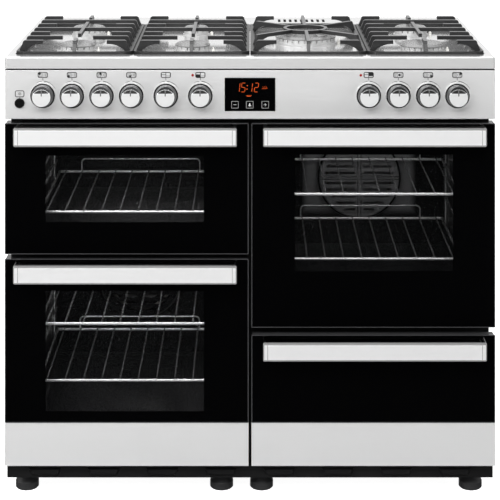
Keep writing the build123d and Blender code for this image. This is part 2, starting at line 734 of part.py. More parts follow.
# Burner bodies: a mixing cup under the hob, a flange that seats on the well and a slotted crown
with BuildPart() as burner_bodies:
    for burner_x, burner_y, crown_radius in BURNERS:
        cup_radius = crown_radius - BURNER_CUP_INSET
        crown_top = WELL_FLOOR + CROWN_HEIGHT
        outline = [
            (0, WELL_FLOOR - BURNER_CUP_DEPTH),
            (cup_radius / 2, WELL_FLOOR - BURNER_CUP_DEPTH),
            (cup_radius, WELL_FLOOR - BURNER_CUP_DEPTH / 2),
            (cup_radius, WELL_FLOOR),
            (crown_radius + BURNER_FLANGE, WELL_FLOOR),
            (crown_radius + BURNER_FLANGE, WELL_FLOOR + BURNER_FLANGE),
            (crown_radius, WELL_FLOOR + BURNER_FLANGE),
            (crown_radius, crown_top),
        ]
        crowns = [crown_radius]
        if crown_radius == WOK_BURNER:
            outline += [
                (crown_radius - WOK_RING_WIDTH, crown_top),
                (crown_radius - WOK_RING_WIDTH, WELL_FLOOR + BURNER_FLANGE),
                (WOK_INNER_CROWN, WELL_FLOOR + BURNER_FLANGE),
                (WOK_INNER_CROWN, crown_top),
            ]
            crowns.append(WOK_INNER_CROWN)
        outline.append((0, crown_top))
        turned(upright_plane(burner_x, burner_y), Axis((burner_x, burner_y, 0), (0, 0, 1)), outline)
        for radius in crowns:
            slot_count = int(2 * pi * radius / CROWN_SLOT_PITCH)
            with BuildSketch(Plane.XY.offset(crown_top)):
                with Locations((burner_x, burner_y)):
                    with PolarLocations(radius, slot_count):
                        Rectangle(CROWN_SLOT_DEPTH * 2, CROWN_SLOT_WIDTH)
            extrude(amount=-CROWN_SLOT_DEPTH, mode=Mode.SUBTRACT)
save(burner_bodies, "burner_bodies")

# Burner caps: enamelled lids that lie on the crowns; the wok burner has a ring and a lid
with BuildPart() as burner_caps:
    for burner_x, burner_y, crown_radius in BURNERS:
        cap_floor = WELL_FLOOR + CROWN_HEIGHT
        lids = [(0, crown_radius)]
        if crown_radius == WOK_BURNER:
            lids = [(0, WOK_INNER_CROWN), (crown_radius - WOK_RING_WIDTH - CAP_OVERHANG, crown_radius)]
        for inner, outer in lids:
            rim = outer + CAP_OVERHANG
            inner_bevel = CAP_BEVEL if inner > 0 else 0
            outline = [
                (inner, cap_floor),
                (rim, cap_floor),
                (rim, cap_floor + CAP_RIM),
                (rim - CAP_BEVEL, cap_floor + CAP_HEIGHT),
                (inner + inner_bevel, cap_floor + CAP_HEIGHT),
            ]
            if inner > 0:
                outline.append((inner, cap_floor + CAP_RIM))
            turned(upright_plane(burner_x, burner_y), Axis((burner_x, burner_y, 0), (0, 0, 1)), outline)
save(burner_caps, "burner_caps")

# Spark electrodes: a pin in a ceramic collar beside each crown
with BuildPart() as spark_electrodes:
    for burner_x, burner_y, crown_radius in BURNERS:
        pin_x = burner_x + crown_radius + ELECTRODE_GAP
        turned(
            upright_plane(pin_x, burner_y),
            Axis((pin_x, burner_y, 0), (0, 0, 1)),
            (
                (0, WELL_FLOOR - ELECTRODE_TAIL),
                (ELECTRODE_RADIUS, WELL_FLOOR - ELECTRODE_TAIL),
                (ELECTRODE_RADIUS, WELL_FLOOR),
                (ELECTRODE_COLLAR, WELL_FLOOR),
                (ELECTRODE_COLLAR, WELL_FLOOR + ELECTRODE_COLLAR_HEIGHT),
                (ELECTRODE_RADIUS, WELL_FLOOR + ELECTRODE_COLLAR_HEIGHT),
                (ELECTRODE_RADIUS, WELL_FLOOR + ELECTRODE_REACH),
                (0, WELL_FLOOR + ELECTRODE_REACH),
            ),
        )
save(spark_electrodes, "spark_electrodes")


def finger(plane, length):
    """One cast finger of a pan support: it leans in from the ring bar, rounds over and runs inwards on top.

    The plane starts at the outer foot of the bar, with its first axis pointing inwards and its second up.
    """
    underside = FINGER_RISE - FIN_DEPTH
    gusset_end = min(length, FIN_LENGTH)
    with BuildSketch(plane) as outline:
        with BuildLine():
            Line((FIN_SETBACK, 0), (FIN_LEAN, FINGER_RISE - FIN_ROUND))
            RadiusArc(
                (FIN_LEAN, FINGER_RISE - FIN_ROUND),
                (FIN_LEAN + FIN_ROUND, FINGER_RISE),
                FIN_ROUND,
            )
            Line((FIN_LEAN + FIN_ROUND, FINGER_RISE), (length, FINGER_RISE))
            Line((length, FINGER_RISE), (length, underside))
            if length > FIN_LENGTH:
                Line((length, underside), (gusset_end, underside))
            ThreePointArc(
                (gusset_end, underside),
                (SUPPORT_BAR + GUSSET_REACH * (gusset_end - SUPPORT_BAR), GUSSET_RISE * underside),
                (SUPPORT_BAR, 0),
            )
            Line((SUPPORT_BAR, 0), (FIN_SETBACK, 0))
        make_face()
    extrude(outline.sketch, amount=FIN_THICKNESS / 2, both=True)


def finger_plane(x, y, inwards):
    """Plane of a finger that starts at x, y on the outside of the ring bar and points along inwards."""
    return Plane(
        origin=(x, y, SUPPORT_FLOOR),
        x_dir=(inwards[0], inwards[1], 0),
        z_dir=(inwards[1], -inwards[0], 0),
    )


def ring_bar(centre_x):
    """The bar round the foot of a pan support, with cut corners, standing on four pads."""
    with BuildSketch(Plane.XY.offset(SUPPORT_FLOOR)) as outline:
        with Locations((centre_x, SUPPORT_MID_Y)):
            Rectangle(SUPPORT_WIDTH, SUPPORT_DEPTH)
        chamfer(outline.vertices(), SUPPORT_CHAMFER)
        offset(amount=-SUPPORT_BAR, mode=Mode.SUBTRACT)
    extrude(outline.sketch, amount=SUPPORT_BAR_HEIGHT)
    for side in (-1, 1):
        for end in (-1, 1):
            pad_x = centre_x + side * (SUPPORT_WIDTH / 2 - SUPPORT_PAD_RADIUS)
            pad_y = SUPPORT_MID_Y + end * FIN_PITCH * (FIN_COUNT - 1) / 2
            disc(Plane.XY.offset(WELL_FLOOR), (pad_x, pad_y), SUPPORT_PAD_RADIUS, SUPPORT_PAD_HEIGHT)


# Pan supports for two burners: side fins, fingers towards both burners, two cross bars and a spine
CROSS_BARS = (FIN_COUNT // 2, FIN_COUNT - 2)
for label, column in (("left_pan_support", -1.5), ("middle_pan_support", -0.5), ("right_pan_support", 1.5)):
    centre_x = column * SUPPORT_PITCH
    with BuildPart() as pan_support:
        ring_bar(centre_x)
        for side in (-1, 1):
            edge_x = centre_x + side * SUPPORT_WIDTH / 2
            for number in range(FIN_COUNT):
                fin_y = WOK_Y + (number - (FIN_COUNT - 1) / 2) * FIN_PITCH
                length = FIN_LENGTH
                if number in CROSS_BARS:
                    length = SUPPORT_WIDTH / 2
                elif number % 2 == 1:
                    length = SUPPORT_WIDTH / 2 - FINGER_GAP
                finger(finger_plane(edge_x, fin_y, (-side, 0)), length)
        finger(finger_plane(centre_x, SUPPORT_FRONT, (0, 1)), FRONT_BURNER - FINGER_GAP - SUPPORT_FRONT)
        support_rear = SUPPORT_FRONT + SUPPORT_DEPTH
        finger(finger_plane(centre_x, support_rear, (0, -1)), support_rear - REAR_BURNER - FINGER_GAP)
        plate(
            Plane.XY.offset(SUPPORT_TOP - FIN_DEPTH),
            (centre_x - FIN_THICKNESS / 2, FRONT_BURNER + FINGER_GAP),
            (centre_x + FIN_THICKNESS / 2, REAR_BURNER - FINGER_GAP),
            FIN_DEPTH,
        )
    save(pan_support, label)

# Wok support: corner fins, four slanted fingers and two straight ones that meet in a ring
with BuildPart() as wok_pan_support:
    centre_x = 0.5 * SUPPORT_PITCH
    ring_bar(centre_x)
    with BuildSketch(Plane.XY.offset(SUPPORT_TOP - FIN_DEPTH)):
        with Locations((centre_x, WOK_Y)):
            Circle(WOK_RING_RADIUS)
            Circle(WOK_RING_RADIUS - WOK_RING_WALL, mode=Mode.SUBTRACT)
    extrude(amount=FIN_DEPTH)
    finger_end = WOK_RING_RADIUS - WOK_RING_WALL / 2
    for end in (-1, 1):
        support_end = SUPPORT_MID_Y + end * SUPPORT_DEPTH / 2
        finger(finger_plane(centre_x, support_end, (0, -end)), abs(support_end - WOK_Y) - finger_end)
        for side in (-1, 1):
            edge_x = centre_x + side * SUPPORT_WIDTH / 2
            fin_y = WOK_Y + end * FIN_PITCH * (FIN_COUNT - 1) / 2
            finger(finger_plane(edge_x, fin_y, (-side, 0)), FIN_LENGTH)
            across = SUPPORT_WIDTH / 2 - FIN_THICKNESS / 2
            reach = hypot(across, WOK_FINGER_Y)
            slant = (-side * across / reach, -end * WOK_FINGER_Y / reach)
            foot_plane = finger_plane(centre_x + side * across, WOK_Y + end * WOK_FINGER_Y, slant)
            finger(foot_plane, reach - finger_end)
save(wok_pan_support, "wok_pan_support")

# Oven cavities: enamelled boxes whose flange seats behind the carcass frame
for label, mouth in (
    ("upper_left_cavity", UPPER_LEFT_MOUTH),
    ("lower_left_cavity", LOWER_LEFT_MOUTH),
    ("right_cavity", RIGHT_MOUTH),
):
    mouth_x, mouth_floor, mouth_top = mouth
    low = (mouth_x - CAVITY_WIDTH / 2, mouth_floor)
    high = (mouth_x + CAVITY_WIDTH / 2, mouth_top)
    lip = CAVITY_FLANGE + SHEET
    with BuildPart() as cavity:
        plate(
            front_plane(CAVITY_REAR + SHEET),
            (low[0] - SHEET, low[1] - SHEET),
            (high[0] + SHEET, high[1] + SHEET),
            CAVITY_DEPTH + SHEET,
            corner=CAVITY_CORNER + SHEET,
        )
        plate(
            front_plane(FRAME_BACK + SHEET),
            (low[0] - lip, low[1] - lip),
            (high[0] + lip, high[1] + lip),
            SHEET,
            corner=CAVITY_CORNER + lip,
        )
        plate(front_plane(CAVITY_REAR), low, high, CAVITY_DEPTH, Mode.SUBTRACT, CAVITY_CORNER)
        for fan_x, fan_z in FANS:
            if mouth_floor < fan_z < mouth_top and low[0] < fan_x < high[0]:
                disc(
                    front_plane(CAVITY_REAR + SHEET),
                    (fan_x, fan_z),
                    FAN_SHAFT_HOLE,
                    SHEET,
                    Mode.SUBTRACT,
                )
                with BuildSketch(front_plane(CAVITY_REAR + SHEET)):
                    with Locations((fan_x, fan_z)):
                        with PolarLocations(RING_RADIUS, 2, RING_TAIL_START, RING_TAIL_ANGLE, endpoint=True):
                            Circle(ELEMENT_RADIUS + ELEMENT_HOLE_CLEARANCE)
                extrude(amount=SHEET, mode=Mode.SUBTRACT)
        if label == "upper_left_cavity":
            with BuildSketch(front_plane(CAVITY_REAR + SHEET)):
                with Locations((mouth_x, mouth_top - GRILL_DROP)):
                    with GridLocations(GRILL_PITCH, 1, 2, 1):
                        Circle(ELEMENT_RADIUS + ELEMENT_HOLE_CLEARANCE)
            extrude(amount=SHEET, mode=Mode.SUBTRACT)
    save(cavity, label)

# Door seals: soft rings on the carcass frame round each mouth
with BuildPart() as door_seals:
    for mouth_x, mouth_floor, mouth_top in MOUTHS:
        with BuildSketch(front_plane(FRAME_FRONT)):
            with Locations((mouth_x, (mouth_floor + mouth_top) / 2)):
                seal_reach = 2 * SEAL_WIDTH
                RectangleRounded(
                    CAVITY_WIDTH + seal_reach,
                    mouth_top - mouth_floor + seal_reach,
                    CAVITY_CORNER + SEAL_WIDTH,
                )
                RectangleRounded(CAVITY_WIDTH, mouth_top - mouth_floor, CAVITY_CORNER, mode=Mode.SUBTRACT)
        extrude(amount=SEAL_GAP - SEAL_CLEARANCE)
save(door_seals, "door_seals")

# Fan covers: dished discs on the rear walls, with rows of slots in the four quarters between two ribs
with BuildPart() as fan_covers:
    for fan_x, fan_z in FANS:
        cover_front = CAVITY_REAR - FAN_COVER_DEPTH
        turned(
            side_plane(fan_x),
            Axis((fan_x, 0, fan_z), (0, 1, 0)),
            (
                (cover_front, fan_z),
                (cover_front, fan_z + FAN_COVER_RADIUS - FAN_COVER_EDGE),
                (cover_front + FAN_COVER_EDGE, fan_z + FAN_COVER_RADIUS),
                (CAVITY_REAR, fan_z + FAN_COVER_RADIUS),
                (CAVITY_REAR, fan_z + FAN_COVER_RADIUS - SHEET),
                (cover_front + FAN_COVER_EDGE, fan_z + FAN_COVER_RADIUS - SHEET),
                (cover_front + SHEET, fan_z + FAN_COVER_RADIUS - FAN_COVER_EDGE - SHEET),
                (cover_front + SHEET, fan_z),
            ),
        )
        with BuildSketch(front_plane(cover_front)):
            for row in range(FAN_SLOT_ROWS):
                rise = FAN_SLOT_FIRST + row * FAN_SLOT_PITCH
                slot_length = sqrt(FAN_SLOT_REACH**2 - rise**2) - FAN_RIB / 2
                with Locations((fan_x, fan_z)):
                    with GridLocations(slot_length + FAN_RIB, 2 * rise, 2, 2):
                        SlotOverall(slot_length, FAN_SLOT_HEIGHT)
        extrude(amount=-SHEET, mode=Mode.SUBTRACT)
save(fan_covers, "fan_covers")

# Fan motors: bolted behind the rear walls, each with a shaft that reaches through
with BuildPart() as fan_motors:
    for fan_x, fan_z in FANS:
        motor_front = CAVITY_REAR + SHEET
        shaft_end = CAVITY_REAR - FAN_WALL_GAP - FAN_BLADE_WIDTH
        turned(
            side_plane(fan_x),
            Axis((fan_x, 0, fan_z), (0, 1, 0)),
            (
                (shaft_end, fan_z),
                (shaft_end, fan_z + FAN_SHAFT_RADIUS),
                (motor_front, fan_z + FAN_SHAFT_RADIUS),
                (motor_front, fan_z + MOTOR_RADIUS),
                (motor_front + MOTOR_LENGTH, fan_z + MOTOR_RADIUS),
                (motor_front + MOTOR_LENGTH, fan_z),
            ),
        )
save(fan_motors, "fan_motors")

# Fan impellers: a hub on the motor shaft, a back plate and straight blades
for label, shaft in (("lower_left_fan", FANS[0]), ("right_fan", FANS[1])):
    fan_x, fan_z = shaft
    fan_rear = CAVITY_REAR - FAN_WALL_GAP
    with BuildPart() as fan:
        disc(front_plane(fan_rear), shaft, FAN_RADIUS, FAN_BLADE_THICKNESS)
        disc(front_plane(fan_rear), shaft, FAN_HUB_RADIUS, FAN_BLADE_WIDTH)
        with BuildSketch(front_plane(fan_rear)):
            with Locations(shaft):
                with PolarLocations((FAN_RADIUS + FAN_BLADE_ROOT) / 2, FAN_BLADE_COUNT):
                    Rectangle(FAN_RADIUS - FAN_BLADE_ROOT, FAN_BLADE_THICKNESS)
        extrude(amount=FAN_BLADE_WIDTH)
        disc(
            front_plane(fan_rear),
            shaft,
            FAN_SHAFT_RADIUS + FAN_SHAFT_CLEARANCE,
            FAN_BLADE_WIDTH,
            Mode.SUBTRACT,
        )
    save(fan, label)

# Heating elements: a ring round each fan and a looped grill under the roof of the upper oven
with BuildPart() as heating_elements:
    for fan_x, fan_z in FANS:
        ring_y = CAVITY_REAR - FAN_WALL_GAP - FAN_BLADE_WIDTH / 2
        with BuildSketch(side_plane(fan_x)):
            with Locations((ring_y, fan_z - RING_RADIUS)):
                Circle(ELEMENT_RADIUS)
        ring_axis = Axis((fan_x, 0, fan_z), (0, 1, 0))
        revolve(axis=ring_axis)
        with BuildSketch(front_plane(CAVITY_REAR + SHEET + ELEMENT_TAIL)):
            with Locations((fan_x, fan_z)):
                with PolarLocations(RING_RADIUS, 2, RING_TAIL_START, RING_TAIL_ANGLE, endpoint=True):
                    Circle(ELEMENT_RADIUS)
        extrude(amount=CAVITY_REAR + SHEET + ELEMENT_TAIL - ring_y)
    grill_z = UPPER_CAVITY_TOP - GRILL_DROP
    grill_front = FRAME_BACK + GRILL_FRONT_INSET
    grill_rear = CAVITY_REAR + SHEET + ELEMENT_TAIL
    grill_turn = CAVITY_REAR - GRILL_FRONT_INSET
    with BuildLine() as grill_path:
        FilletPolyline(
            (-COLUMN_X - GRILL_PITCH / 2, grill_rear, grill_z),
            (-COLUMN_X - GRILL_PITCH / 2, grill_turn, grill_z),
            (-COLUMN_X - GRILL_WIDTH / 2, grill_turn, grill_z),
            (-COLUMN_X - GRILL_WIDTH / 2, grill_front, grill_z),
            (-COLUMN_X - GRILL_PITCH, grill_front, grill_z),
            (-COLUMN_X - GRILL_PITCH, grill_turn - GRILL_PITCH, grill_z),
            (-COLUMN_X + GRILL_PITCH, grill_turn - GRILL_PITCH, grill_z),
            (-COLUMN_X + GRILL_PITCH, grill_front, grill_z),
            (-COLUMN_X + GRILL_WIDTH / 2, grill_front, grill_z),
            (-COLUMN_X + GRILL_WIDTH / 2, grill_turn, grill_z),
            (-COLUMN_X + GRILL_PITCH / 2, grill_turn, grill_z),
            (-COLUMN_X + GRILL_PITCH / 2, grill_rear, grill_z),
            radius=GRILL_BEND,
        )
    with BuildSketch(Plane(origin=grill_path.line @ 0, z_dir=grill_path.line % 0)) as grill_section:
        Circle(ELEMENT_RADIUS)
    sweep(grill_section.sketch, path=grill_path.line)
save(heating_elements, "heating_elements")


def shelf_rises(first, step):
    """Heights of the runner rods above a cavity's floor, one step apart."""
    return [first + number * step for number in range(RUNNER_LEVELS)]


# Runner ladders: two posts close to each side wall and a rod at each shelf level
LADDERS = (
    (UPPER_LEFT_MOUTH, shelf_rises(UPPER_SHELF_RISE, UPPER_SHELF_STEP)),
    (LOWER_LEFT_MOUTH, shelf_rises(LOWER_SHELF_RISE, LOWER_SHELF_STEP)),
    (RIGHT_MOUTH, shelf_rises(RIGHT_SHELF_RISE, RIGHT_SHELF_STEP)),
)
RUNNER_FRONT = FRAME_BACK + RUNNER_FRONT_INSET
RUNNER_REAR = CAVITY_REAR - RUNNER_REAR_INSET
with BuildPart() as shelf_runners:
    for mouth, rises in LADDERS:
        mouth_x, mouth_floor, mouth_top = mouth
        for side in (-1, 1):
            wall_x = mouth_x + side * CAVITY_WIDTH / 2
            post_x = wall_x - side * RUNNER_POST_STANDOFF
            rod_x = wall_x - side * RUNNER_ROD_STANDOFF
            post_floor = mouth_floor + rises[0] - RUNNER_POST_LAP
            post_top = mouth_floor + rises[-1] + RUNNER_POST_LAP
            for post_y in (RUNNER_FRONT, RUNNER_REAR):
                rod((post_x, post_y, post_floor), (post_x, post_y, post_top), RUNNER_POST_RADIUS)
                for peg_z in (post_floor + RUNNER_POST_RADIUS, post_top - RUNNER_POST_RADIUS):
                    rod((post_x, post_y, peg_z), (wall_x, post_y, peg_z), RUNNER_PEG_RADIUS)
            for rise in rises:
                rod_z = mouth_floor + rise
                rod(
                    (rod_x, RUNNER_FRONT - RUNNER_ROD_LAP, rod_z),
                    (rod_x, RUNNER_REAR + RUNNER_ROD_LAP, rod_z),
                    RUNNER_ROD_RADIUS,
                )
save(shelf_runners, "shelf_runners")

# Oven shelves: a round bar frame, wires laid across it from front to back and an upright stop at the rear
SHELVES = (
    (UPPER_LEFT_MOUTH, UPPER_SHELF_RISE, UPPER_SHELF_DEPTH),
    (LOWER_LEFT_MOUTH, LOWER_SHELF_RISE, LOWER_SHELF_DEPTH),
    (LOWER_LEFT_MOUTH, LOWER_SHELF_RISE + 2 * LOWER_SHELF_STEP, LOWER_SHELF_DEPTH),
    (RIGHT_MOUTH, RIGHT_SHELF_RISE, LOWER_SHELF_DEPTH),
    (RIGHT_MOUTH, RIGHT_SHELF_RISE + 2 * RIGHT_SHELF_STEP, LOWER_SHELF_DEPTH),
)
with BuildPart() as oven_shelves:
    for mouth, rise, depth in SHELVES:
        mouth_x, mouth_floor, mouth_top = mouth
        bar_z = mouth_floor + rise + RUNNER_ROD_RADIUS + SHELF_BAR_RADIUS + RUNNER_SEAT
        bar_x = CAVITY_WIDTH / 2 - SHELF_SIDE_GAP - SHELF_BAR_RADIUS
        bar_front = FRAME_BACK + SHELF_FRONT_GAP
        bar_rear = bar_front + depth
        wire_z = bar_z + SHELF_BAR_RADIUS + SHELF_WIRE_RADIUS - SHELF_WIRE_LAP
        for side in (-1, 1):
            end_x = mouth_x + side * bar_x
            rod((end_x, bar_front, bar_z), (end_x, bar_rear, bar_z), SHELF_BAR_RADIUS)
        for bar_y in (bar_front, bar_rear):
            rod((mouth_x - bar_x, bar_y, bar_z), (mouth_x + bar_x, bar_y, bar_z), SHELF_BAR_RADIUS)
        for number in range(SHELF_WIRE_COUNT):
            wire_x = mouth_x + (number - (SHELF_WIRE_COUNT - 1) / 2) * SHELF_WIRE_PITCH
            rod(
                (wire_x, bar_front - SHELF_BAR_RADIUS, wire_z),
                (wire_x, bar_rear + SHELF_BAR_RADIUS, wire_z),
                SHELF_WIRE_RADIUS,
            )
        with BuildLine() as stop_path:
            FilletPolyline(
                (mouth_x - STOP_WIDTH / 2, bar_rear, bar_z),
                (mouth_x - STOP_WIDTH / 2, bar_rear, bar_z + STOP_HEIGHT),
                (mouth_x + STOP_WIDTH / 2, bar_rear, bar_z + STOP_HEIGHT),
                (mouth_x + STOP_WIDTH / 2, bar_rear, bar_z),
                radius=STOP_BEND,
            )
        with BuildSketch(Plane(origin=stop_path.line @ 0, z_dir=stop_path.line % 0)) as stop_section:
            Circle(SHELF_WIRE_RADIUS)
        sweep(stop_section.sketch, path=stop_path.line)
save(oven_shelves, "oven_shelves")

# Hinge brackets: arms that reach through the carcass frame to an eye round each door pin
with BuildPart() as hinge_brackets:
    for door_x, pin_z in HINGES:
        for side in (-1, 1):
            arm_x = door_x + side * HINGE_SPREAD
            with BuildSketch(side_plane(arm_x)):
                with Locations((HINGE_Y, pin_z)):
                    Circle(HINGE_EYE_RADIUS)
                with Locations(((HINGE_Y + FRAME_BACK) / 2, pin_z)):
                    Rectangle(FRAME_BACK - HINGE_Y, HINGE_ARM_HEIGHT)
                with Locations((HINGE_Y, pin_z)):
                    Circle(HINGE_PIN_RADIUS + HINGE_PIN_CLEARANCE, mode=Mode.SUBTRACT)
            extrude(amount=HINGE_ARM / 2, both=True)
            plate(
                front_plane(FRAME_BACK + SHEET),
                (arm_x - HINGE_FLANGE_WIDTH / 2, pin_z - HINGE_FLANGE_HEIGHT / 2),
                (arm_x + HINGE_FLANGE_WIDTH / 2, pin_z + HINGE_FLANGE_HEIGHT / 2),
                SHEET,
            )
save(hinge_brackets, "hinge_brackets")


def door_panel(label, centre_x, floor, top, window_floor, window_height):
    """Pressed inner tray of a door, with its window, hinge pockets and hinge pins."""
    half = COLUMN_WIDTH / 2 - TRAY_INSET
    low = (centre_x - half, floor + TRAY_INSET)
    high = (centre_x + half, top - TRAY_INSET)
    pin_z = floor + HINGE_RISE
    slot = HINGE_ARM / 2 + HINGE_SLOT_CLEARANCE
    with BuildPart() as panel:
        plate(front_plane(DOOR_BACK), low, high, DOOR_BACK - GLASS_BACK)
        fillet(panel.faces().sort_by(Axis.Y)[-1].edges(), TRAY_CORNER)
        plate(
            front_plane(DOOR_BACK - SHEET),
            (low[0] + SHEET, low[1] + SHEET),
            (high[0] - SHEET, high[1] - SHEET),
            DOOR_BACK - GLASS_BACK - 2 * SHEET,
            Mode.SUBTRACT,
            TRAY_CORNER - SHEET,
        )
        plate(
            front_plane(GLASS_BACK + SHEET),
            (low[0] + TRAY_RIM, low[1] + TRAY_RIM),
            (high[0] - TRAY_RIM, high[1] - TRAY_RIM),
            SHEET,
            Mode.SUBTRACT,
            TRAY_CORNER,
        )
        plate(
            front_plane(DOOR_BACK),
            (centre_x - WINDOW_WIDTH / 2, window_floor),
            (centre_x + WINDOW_WIDTH / 2, window_floor + window_height),
            SHEET,
            Mode.SUBTRACT,
            WINDOW_CORNER,
        )
        for side in (-1, 1):
            arm_x = centre_x + side * HINGE_SPREAD
            plate(
                side_plane(arm_x - slot - HINGE_CHEEK),
                (GLASS_BACK, low[1]),
                (DOOR_BACK - TRAY_CORNER, pin_z + HINGE_RISE),
                2 * (slot + HINGE_CHEEK),
            )
            plate(
                side_plane(arm_x - slot),
                (GLASS_BACK, low[1]),
                (DOOR_BACK, pin_z + HINGE_EYE_RADIUS + HINGE_SLOT_CLEARANCE),
                2 * slot,
                Mode.SUBTRACT,
            )
            disc(
                side_plane(arm_x - slot - HINGE_CHEEK),
                (HINGE_Y, pin_z),
                HINGE_PIN_RADIUS,
                2 * (slot + HINGE_CHEEK),
            )
    save(panel, label)


def door_glass(label, centre_x, floor, top):
    """Outer pane of a door or drawer, with ground corners."""
    with BuildPart() as pane:
        plate(
            front_plane(GLASS_BACK),
            (centre_x - COLUMN_WIDTH / 2, floor),
            (centre_x + COLUMN_WIDTH / 2, top),
            GLASS,
            corner=GLASS_CORNER,
        )
    save(pane, label)


def inner_glass(label, centre_x, window_floor, window_height):
    """Inner pane that lies inside the door's tray and covers its window."""
    with BuildPart() as pane:
        plate(
            front_plane(DOOR_BACK - SHEET),
            (centre_x - WINDOW_WIDTH / 2 - INNER_GLASS_LAP, window_floor - INNER_GLASS_LAP),
            (centre_x + WINDOW_WIDTH / 2 + INNER_GLASS_LAP, window_floor + window_height + INNER_GLASS_LAP),
            GLASS,
            corner=GLASS_CORNER,
        )
    save(pane, label)


def front_trim(label, centre_x):
    """Folded steel strip across the foot of a front, open at its back."""
    with BuildPart() as trim:
        plate(
            front_plane(GLASS_BACK),
            (centre_x - COLUMN_WIDTH / 2, FRONTS_FLOOR),
            (centre_x + COLUMN_WIDTH / 2, FRONTS_FLOOR + TRIM_HEIGHT - TRIM_JOINT),
            GLASS,
        )
        offset(amount=-SHEET, openings=trim.faces().sort_by(Axis.Y)[-1])
    save(trim, label)


def handle(label, centre_x, top):
    """Square-edged grip: an angle section between two end caps that stand on the front.

    A narrower core through the whole length leaves a fine groove beside each cap.
    """
    grip_front = FRONT_Y - HANDLE_REACH
    low = top - HANDLE_HEIGHT
    mid_z = (low + top) / 2
    left = centre_x - HANDLE_LENGTH / 2
    hollow_depth = HANDLE_REACH - HANDLE_FRONT_WALL
    with BuildPart() as grip:
        for inset in (0, HANDLE_JOINT):
            groove = HANDLE_JOINT - inset
            with BuildSketch(side_plane(left + HANDLE_CAP + groove)):
                with Locations((grip_front + HANDLE_DEPTH / 2, mid_z)):
                    RectangleRounded(HANDLE_DEPTH - 2 * inset, HANDLE_HEIGHT - 2 * inset, HANDLE_EDGE - inset)
                with Locations((FRONT_Y - hollow_depth / 2, mid_z - HANDLE_TOP_WALL)):
                    Rectangle(hollow_depth, HANDLE_HEIGHT, mode=Mode.SUBTRACT)
            extrude(amount=HANDLE_LENGTH - 2 * (HANDLE_CAP + groove))
        for cap_x in (left, left + HANDLE_LENGTH - HANDLE_CAP):
            with BuildSketch(side_plane(cap_x)):
                with Locations((FRONT_Y - HANDLE_REACH / 2, mid_z)):
                    RectangleRounded(HANDLE_REACH, HANDLE_HEIGHT, HANDLE_EDGE)
            extrude(amount=HANDLE_CAP)
        fillet(grip.faces().sort_by(Axis.X)[0].edges(), HANDLE_CAP_ROUND)
        fillet(grip.faces().sort_by(Axis.X)[-1].edges(), HANDLE_CAP_ROUND)
    save(grip, label)


# Upper left door
UPPER_WINDOW_FLOOR = UPPER_DOOR_FLOOR + UPPER_WINDOW_RISE
door_glass("upper_left_door_glass", -COLUMN_X, UPPER_DOOR_FLOOR, FRONTS_TOP)
door_panel(
    "upper_left_door_panel",
    -COLUMN_X,
    UPPER_DOOR_FLOOR,
    FRONTS_TOP,
    UPPER_WINDOW_FLOOR,
    UPPER_WINDOW_HEIGHT,
)
inner_glass("upper_left_inner_glass", -COLUMN_X, UPPER_WINDOW_FLOOR, UPPER_WINDOW_HEIGHT)
handle("upper_left_handle", -COLUMN_X, FRONTS_TOP - HANDLE_DROP)

# Lower left door, whose foot is a steel trim
LOWER_WINDOW_FLOOR = FRONTS_FLOOR + LOWER_WINDOW_RISE
door_glass("lower_left_door_glass", -COLUMN_X, FRONTS_FLOOR + TRIM_HEIGHT, LOWER_DOOR_TOP)
front_trim("lower_left_door_trim", -COLUMN_X)
door_panel(
    "lower_left_door_panel",
    -COLUMN_X,
    FRONTS_FLOOR,
    LOWER_DOOR_TOP,
    LOWER_WINDOW_FLOOR,
    LOWER_WINDOW_HEIGHT,
)
inner_glass("lower_left_inner_glass", -COLUMN_X, LOWER_WINDOW_FLOOR, LOWER_WINDOW_HEIGHT)
handle("lower_left_handle", -COLUMN_X, LOWER_DOOR_TOP - HANDLE_DROP)

# Right door
RIGHT_WINDOW_FLOOR = RIGHT_DOOR_FLOOR + RIGHT_WINDOW_RISE
door_glass("right_door_glass", COLUMN_X, RIGHT_DOOR_FLOOR, FRONTS_TOP)
door_panel(
    "right_door_panel",
    COLUMN_X,
    RIGHT_DOOR_FLOOR,
    FRONTS_TOP,
    RIGHT_WINDOW_FLOOR,
    RIGHT_WINDOW_HEIGHT,
)
inner_glass("right_inner_glass", COLUMN_X, RIGHT_WINDOW_FLOOR, RIGHT_WINDOW_HEIGHT)
handle("right_handle", COLUMN_X, FRONTS_TOP - HANDLE_DROP)

